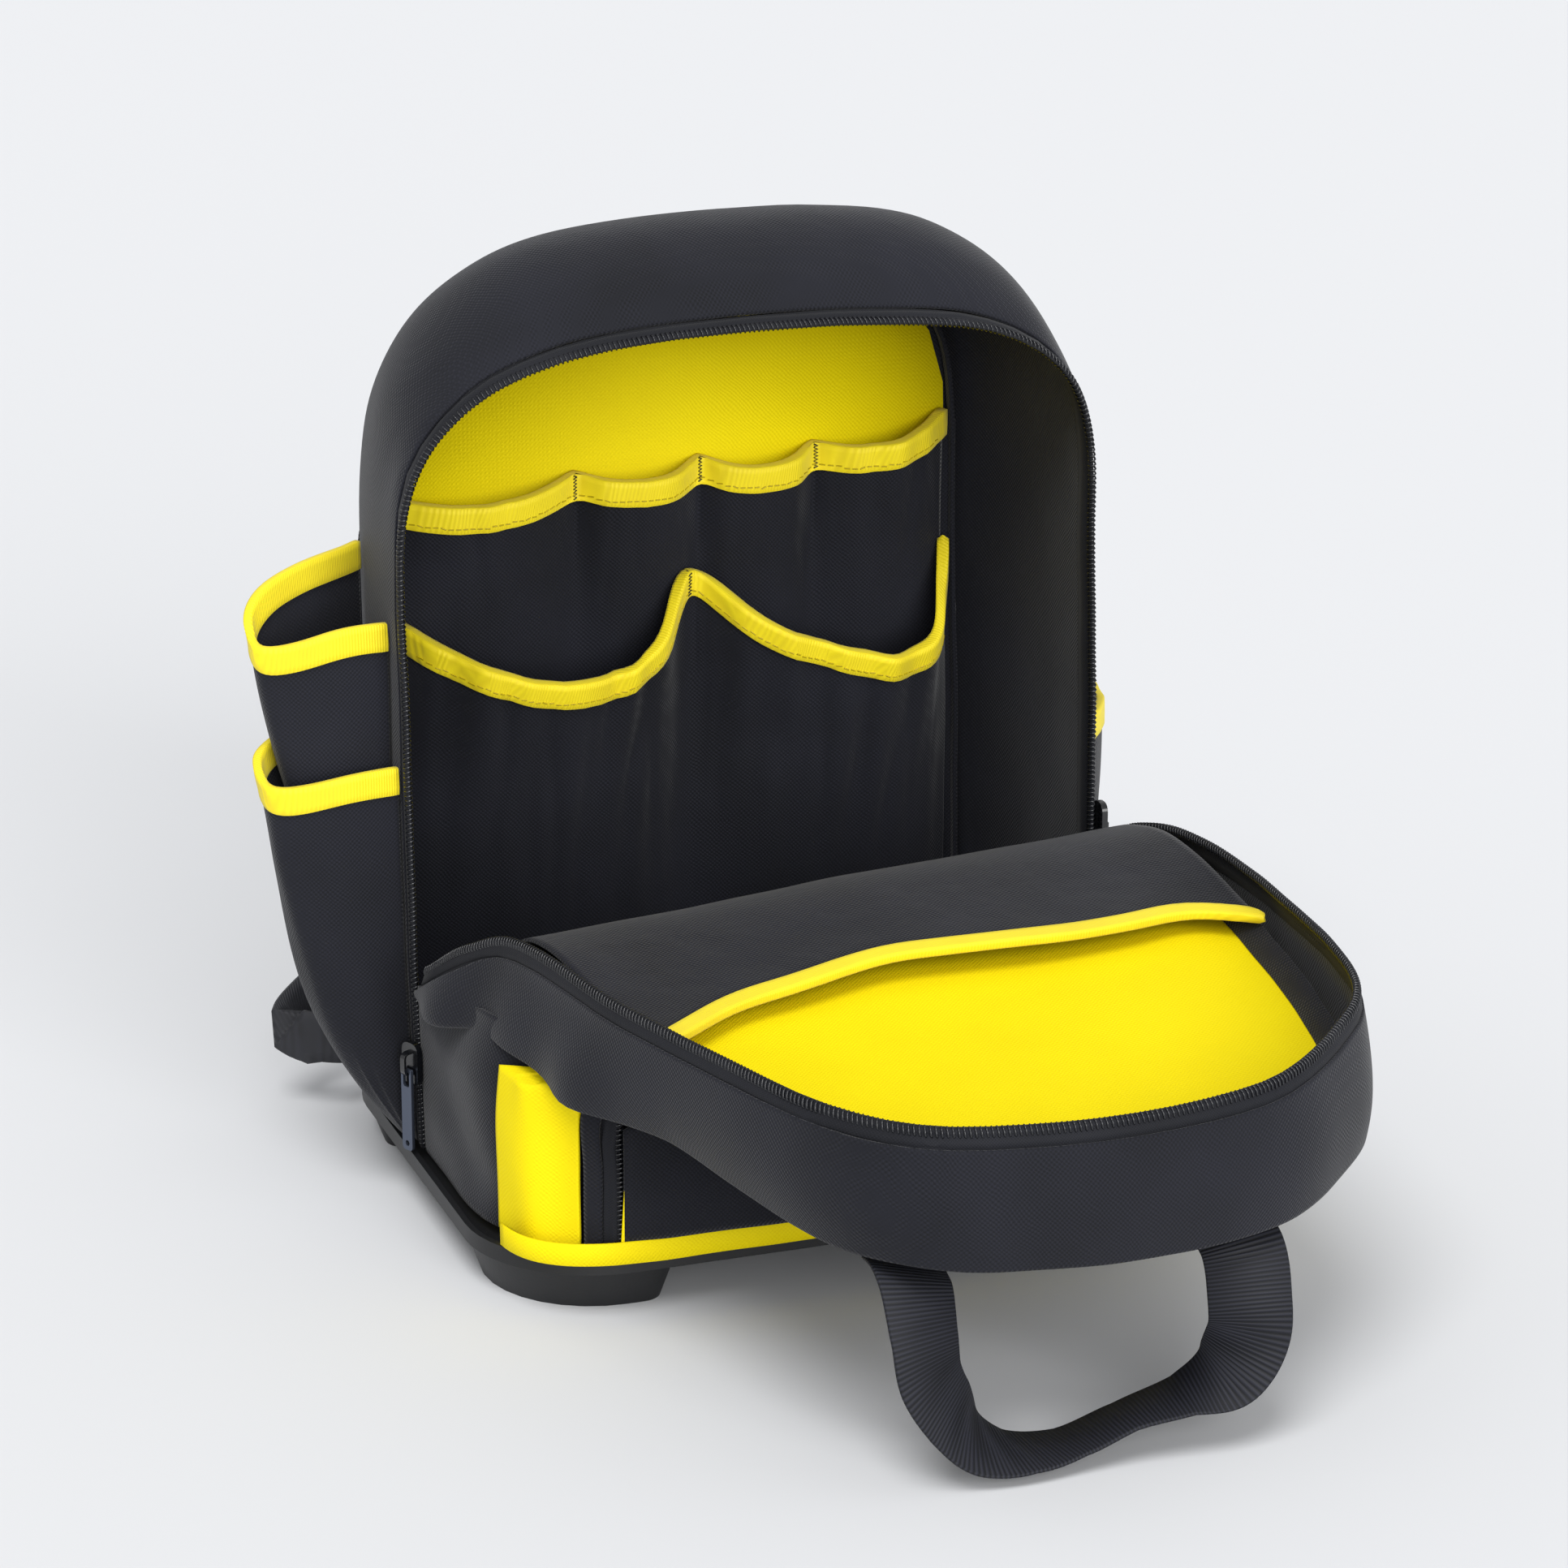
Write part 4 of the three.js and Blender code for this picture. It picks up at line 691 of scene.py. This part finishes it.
def pocket_coil(t):
    """The same for the pocket's zip: up one side, across the top and down the other."""
    half, front, top, foot, corner = 119, 175, 100, 29.9, 6
    leg, arc = top - corner - foot, corner * math.pi / 2
    way = min(t, 1 - t) * 2 * (leg + arc + half - corner)
    side = -1 if t < 0.5 else 1
    if way < leg:
        x, z = half, foot + way
    elif way < leg + arc:
        angle = (way - leg) / corner
        x, z = half - corner + corner * math.cos(angle), top - corner + corner * math.sin(angle)
    else:
        x, z = half - corner - (way - leg - arc), top
    spot = Vector((side * x * (1 + side * BODY_LEAN * (1 - z / ARCH_SPRING)), -front, z))
    away = Vector((side, 0, 0)) if way < leg + arc / 2 else Vector((0, 0, 1))
    return spot, spot + away * 7 + Vector((0, 3, 0)), away * 2 + Vector((0, 2, 0))


def thread(name, lines, radius_mm, round_steps=0):
    """Round thread or wire along lines of places, as one mesh."""
    shape = bpy.data.curves.new(name, "CURVE")
    shape.dimensions = "3D"
    shape.bevel_depth = radius_mm / 1000
    shape.bevel_resolution = round_steps
    for places in lines:
        line = shape.splines.new("POLY")
        line.points.add(len(places) - 1)
        for point, place in zip(line.points, places):
            point.co = (*place, 1)
    drawn = bpy.data.objects.new(name + "_line", shape)
    bpy.context.scene.collection.objects.link(drawn)
    piece = bpy.data.objects.new(name, bpy.data.meshes.new_from_object(as_seen(drawn)))
    bpy.data.objects.remove(drawn)
    bpy.context.scene.collection.objects.link(piece)
    return piece


def wound(name, path, pitch, wide, high, wire, centre):
    """A coil wound along a path. The real pitch is 1.6 mm, drawn coarser so that the turns show."""
    steps, turn_steps = 400, 8
    spots, frames, run = [], [], [0.0]
    for i in range(steps + 1):
        spot, foot, _ = path(i / steps)
        spots.append(spot)
        frames.append((spot - foot).normalized())
        if i:
            run.append(run[-1] + (spots[i] - spots[i - 1]).length)
    count = int(run[-1] / pitch) * turn_steps
    places = []
    i = 0
    for k in range(count):
        way = run[-1] * k / (count - 1)
        while i < steps - 1 and run[i + 1] < way:
            i += 1
        share = (way - run[i]) / max(run[i + 1] - run[i], 1e-6)
        spot = spots[i].lerp(spots[i + 1], share)
        side = frames[i].lerp(frames[i + 1], share).normalized()
        up = (spots[i + 1] - spots[i]).normalized().cross(side)
        angle = 2 * math.pi * k / turn_steps
        spot += side * (wide * math.cos(angle) - centre) + up * high * math.sin(angle)
        place = on_bag(*spot)
        places.append(place + stir(place))
    coil = thread(name + "_turns", [places], wire, 1)
    coil.data.shade_smooth()
    return coil


def tape(name, path):
    """The woven tape from under the coil to its hidden edge."""
    steps, under = 200, 1.5
    mesh = bmesh.new()
    rows = []
    for i in range(steps + 1):
        spot, foot, tuck = path(i / steps)
        start = spot + (foot - spot).normalized() * under
        rows.append([])
        for place in (start, foot, foot + tuck):
            place = on_bag(*place)
            rows[-1].append(mesh.verts.new(place + stir(place)))
    for last, row in zip(rows, rows[1:]):
        for k in range(2):
            mesh.faces.new((last[k], last[k + 1], row[k + 1], row[k])).smooth = True
    piece = new_piece(name, mesh)
    thick = piece.modifiers.new("cloth", "SOLIDIFY")
    thick.thickness = 0.0007
    thick.offset = 0
    return piece


for name, path in (("body", body_coil), ("flap", flap_coil), ("pocket", pocket_coil)):
    sewn(tape(name + "_tape", path), zip_tape, "zip")
    sewn(wound(name + "_coil", path, 2.3, 2.3, 1.55, 0.5, 2.0), coil_nylon, "zip")


# Seam tapes
# Black tape sewn over the raw edges: a piping round the back panel, a flat tape up both sides of
# the back lining, and one round the inside of the flap where its lining meets its side wall.

BACK_HALF, BACK_TOP, BACK_SEAM = OPENING_HALF * 0.868 - 0.4, 447 * 0.928 - 0.4, 113.2
PIPING_WIDTH, PIPING_WALL = 7.5, 6.8
piping = []
for i in range(201):
    t = 0.004 + 0.992 * i / 200
    (x0, z0), (x, z), (x1, z1) = (arch(t + step, BACK_HALF, BACK_TOP) for step in (-0.003, 0, 0.003))
    out = Vector((x1 - x0, 0, z1 - z0)).normalized().cross(Vector((0, 1, 0)))
    piping.append((Vector((x, BACK_SEAM, z)), Vector((0, 1, 0)), out))
sewn(ribbon("back_piping", piping, PIPING_WIDTH, PIPING_WALL), black_polyester, "black_cloth")

SEAM_ACROSS, SEAM_DEPTH, SEAM_FOOT, TAPE_WALL = 138.5, 103.9, 32, 0.8
for name, side, length in (("left_seam_tape", -1, 272), ("right_seam_tape", 1, 290)):
    seam = [(
        Vector((side * SEAM_ACROSS, SEAM_DEPTH, SEAM_FOOT + length * i / 24)),
        Vector((1, 0, 0)), Vector((0, -1, 0)),
    ) for i in range(25)]
    sewn(ribbon(name, seam, 16, TAPE_WALL), black_polyester, "black_cloth")

LINING_SLOPE = 0.12
band = []
for i in range(161):
    t = 0.16 + 0.72 * i / 160
    spot, foot, _ = flap_coil(t)
    outward = ((foot - spot) * Vector((1, 1, 0))).normalized()
    along = max(0.0, (spot - FLAP_HINGE).dot(flap_axis) / FLAP_LENGTH)
    sink = LINING_SLOPE * along * FLAP_LENGTH
    low = spot - outward * 11 - Vector((0, 0, 12.2 + sink))
    high = spot - outward * 3.4 - Vector((0, 0, 4 + sink))
    across = (high - low).normalized()
    way = flap_coil(min(1, t + 0.01))[0] - flap_coil(max(0, t - 0.01))[0]
    band.append(((low + high) / 2, across, across.cross(way.normalized()).normalized()))
sewn(ribbon("flap_seam_tape", band, 12, TAPE_WALL), black_polyester, "black_cloth")


# Bartacks and stitches
# Black thread in a short dense zigzag at the top of every seam that crosses a binding, and yellow
# lockstitches 3.4 mm apart along the lower edge of each folded tape inside the bag.

FRONT_OF_ROWS = -60
STITCH_PITCH, STITCH_LENGTH, STITCH_ABOVE = 3.4, 2.3, 2.4
inward = Vector((0, 1, 0))
black_thread, _, black_thread_shader = new_finish("black_polyester_thread")
black_thread_shader.inputs["Base Color"].default_value = linear("#131417")
black_thread_shader.inputs["Roughness"].default_value = 0.6
yellow_thread, _, yellow_thread_shader = new_finish("yellow_polyester_thread")
yellow_thread_shader.inputs["Base Color"].default_value = linear("#B7A200")
yellow_thread_shader.inputs["Roughness"].default_value = 0.5


def bartack(on, x, z, height):
    """Thread laid over a binding, found by looking at it from the front."""
    places = []
    for k in range(15):
        wide = 0.9 if k % 2 else -0.9
        start = on_bag(x + wide, FRONT_OF_ROWS, z + height * (k / 14 - 0.5))
        found, spot, _, _ = bpy.data.objects[on].ray_cast(start, inward)
        if found:
            places.append(spot - inward * 0.0003)
    sewn(thread("bartack_thread", [places], 0.42), black_thread, "black_cloth")


def stitched(on, low, high):
    """A row of stitches a little above a binding's lower edge, found by looking from the front."""
    target = bpy.data.objects[on]

    def at(x):
        for z in range(low, high):
            if target.ray_cast(on_bag(x, 20, z), inward)[0]:
                found, spot, _, _ = target.ray_cast(on_bag(x, 20, z + STITCH_ABOVE), inward)
                return spot - inward * 0.0002 if found else None
        return None

    stitches = []
    x = -134.0
    while x < 132:
        ends = at(x), at(x + STITCH_LENGTH)
        if None not in ends and (ends[0] - ends[1]).length <= 0.008:
            stitches.append(ends)
        x += STITCH_PITCH
    row = thread(on.replace("_cloth", "_stitches"), stitches, 0.34)
    sewn(row, yellow_thread, "yellow_cloth")


for x, z in ((-51, 307.5), (12.4, 310.5), (71.8, 311.5)):
    bartack("upper_row_binding_cloth", x, z, 12)
bartack("lower_row_binding_cloth", 4.1, 256, 12)
stitched("upper_row_binding_cloth", 285, 330)
stitched("lower_row_binding_cloth", 190, 264)


# Sliders and pull
# Die-cast zinc sliders painted gloss black. The pull is pressed metal with a satin blue-grey
# plating, a slot for the slider's bridge and an eye at its end.

slider_paint, _, paint_shader = new_finish("black_gloss_paint_on_zinc")
paint_shader.inputs["Base Color"].default_value = linear("#0D0E11")
paint_shader.inputs["Roughness"].default_value = 0.22
paint_shader.inputs["Coat Weight"].default_value = 0.4
satin_metal, _, satin_shader = new_finish("satin_plated_steel")
satin_shader.inputs["Base Color"].default_value = linear("#59606F")
satin_shader.inputs["Metallic"].default_value = 0.85
satin_shader.inputs["Roughness"].default_value = 0.38
for name in ("left_slider", "right_slider", "pocket_slider"):
    moulding(name, slider_paint, 0.35)
moulding("left_pull", satin_metal, 0.3, "zip_pull")
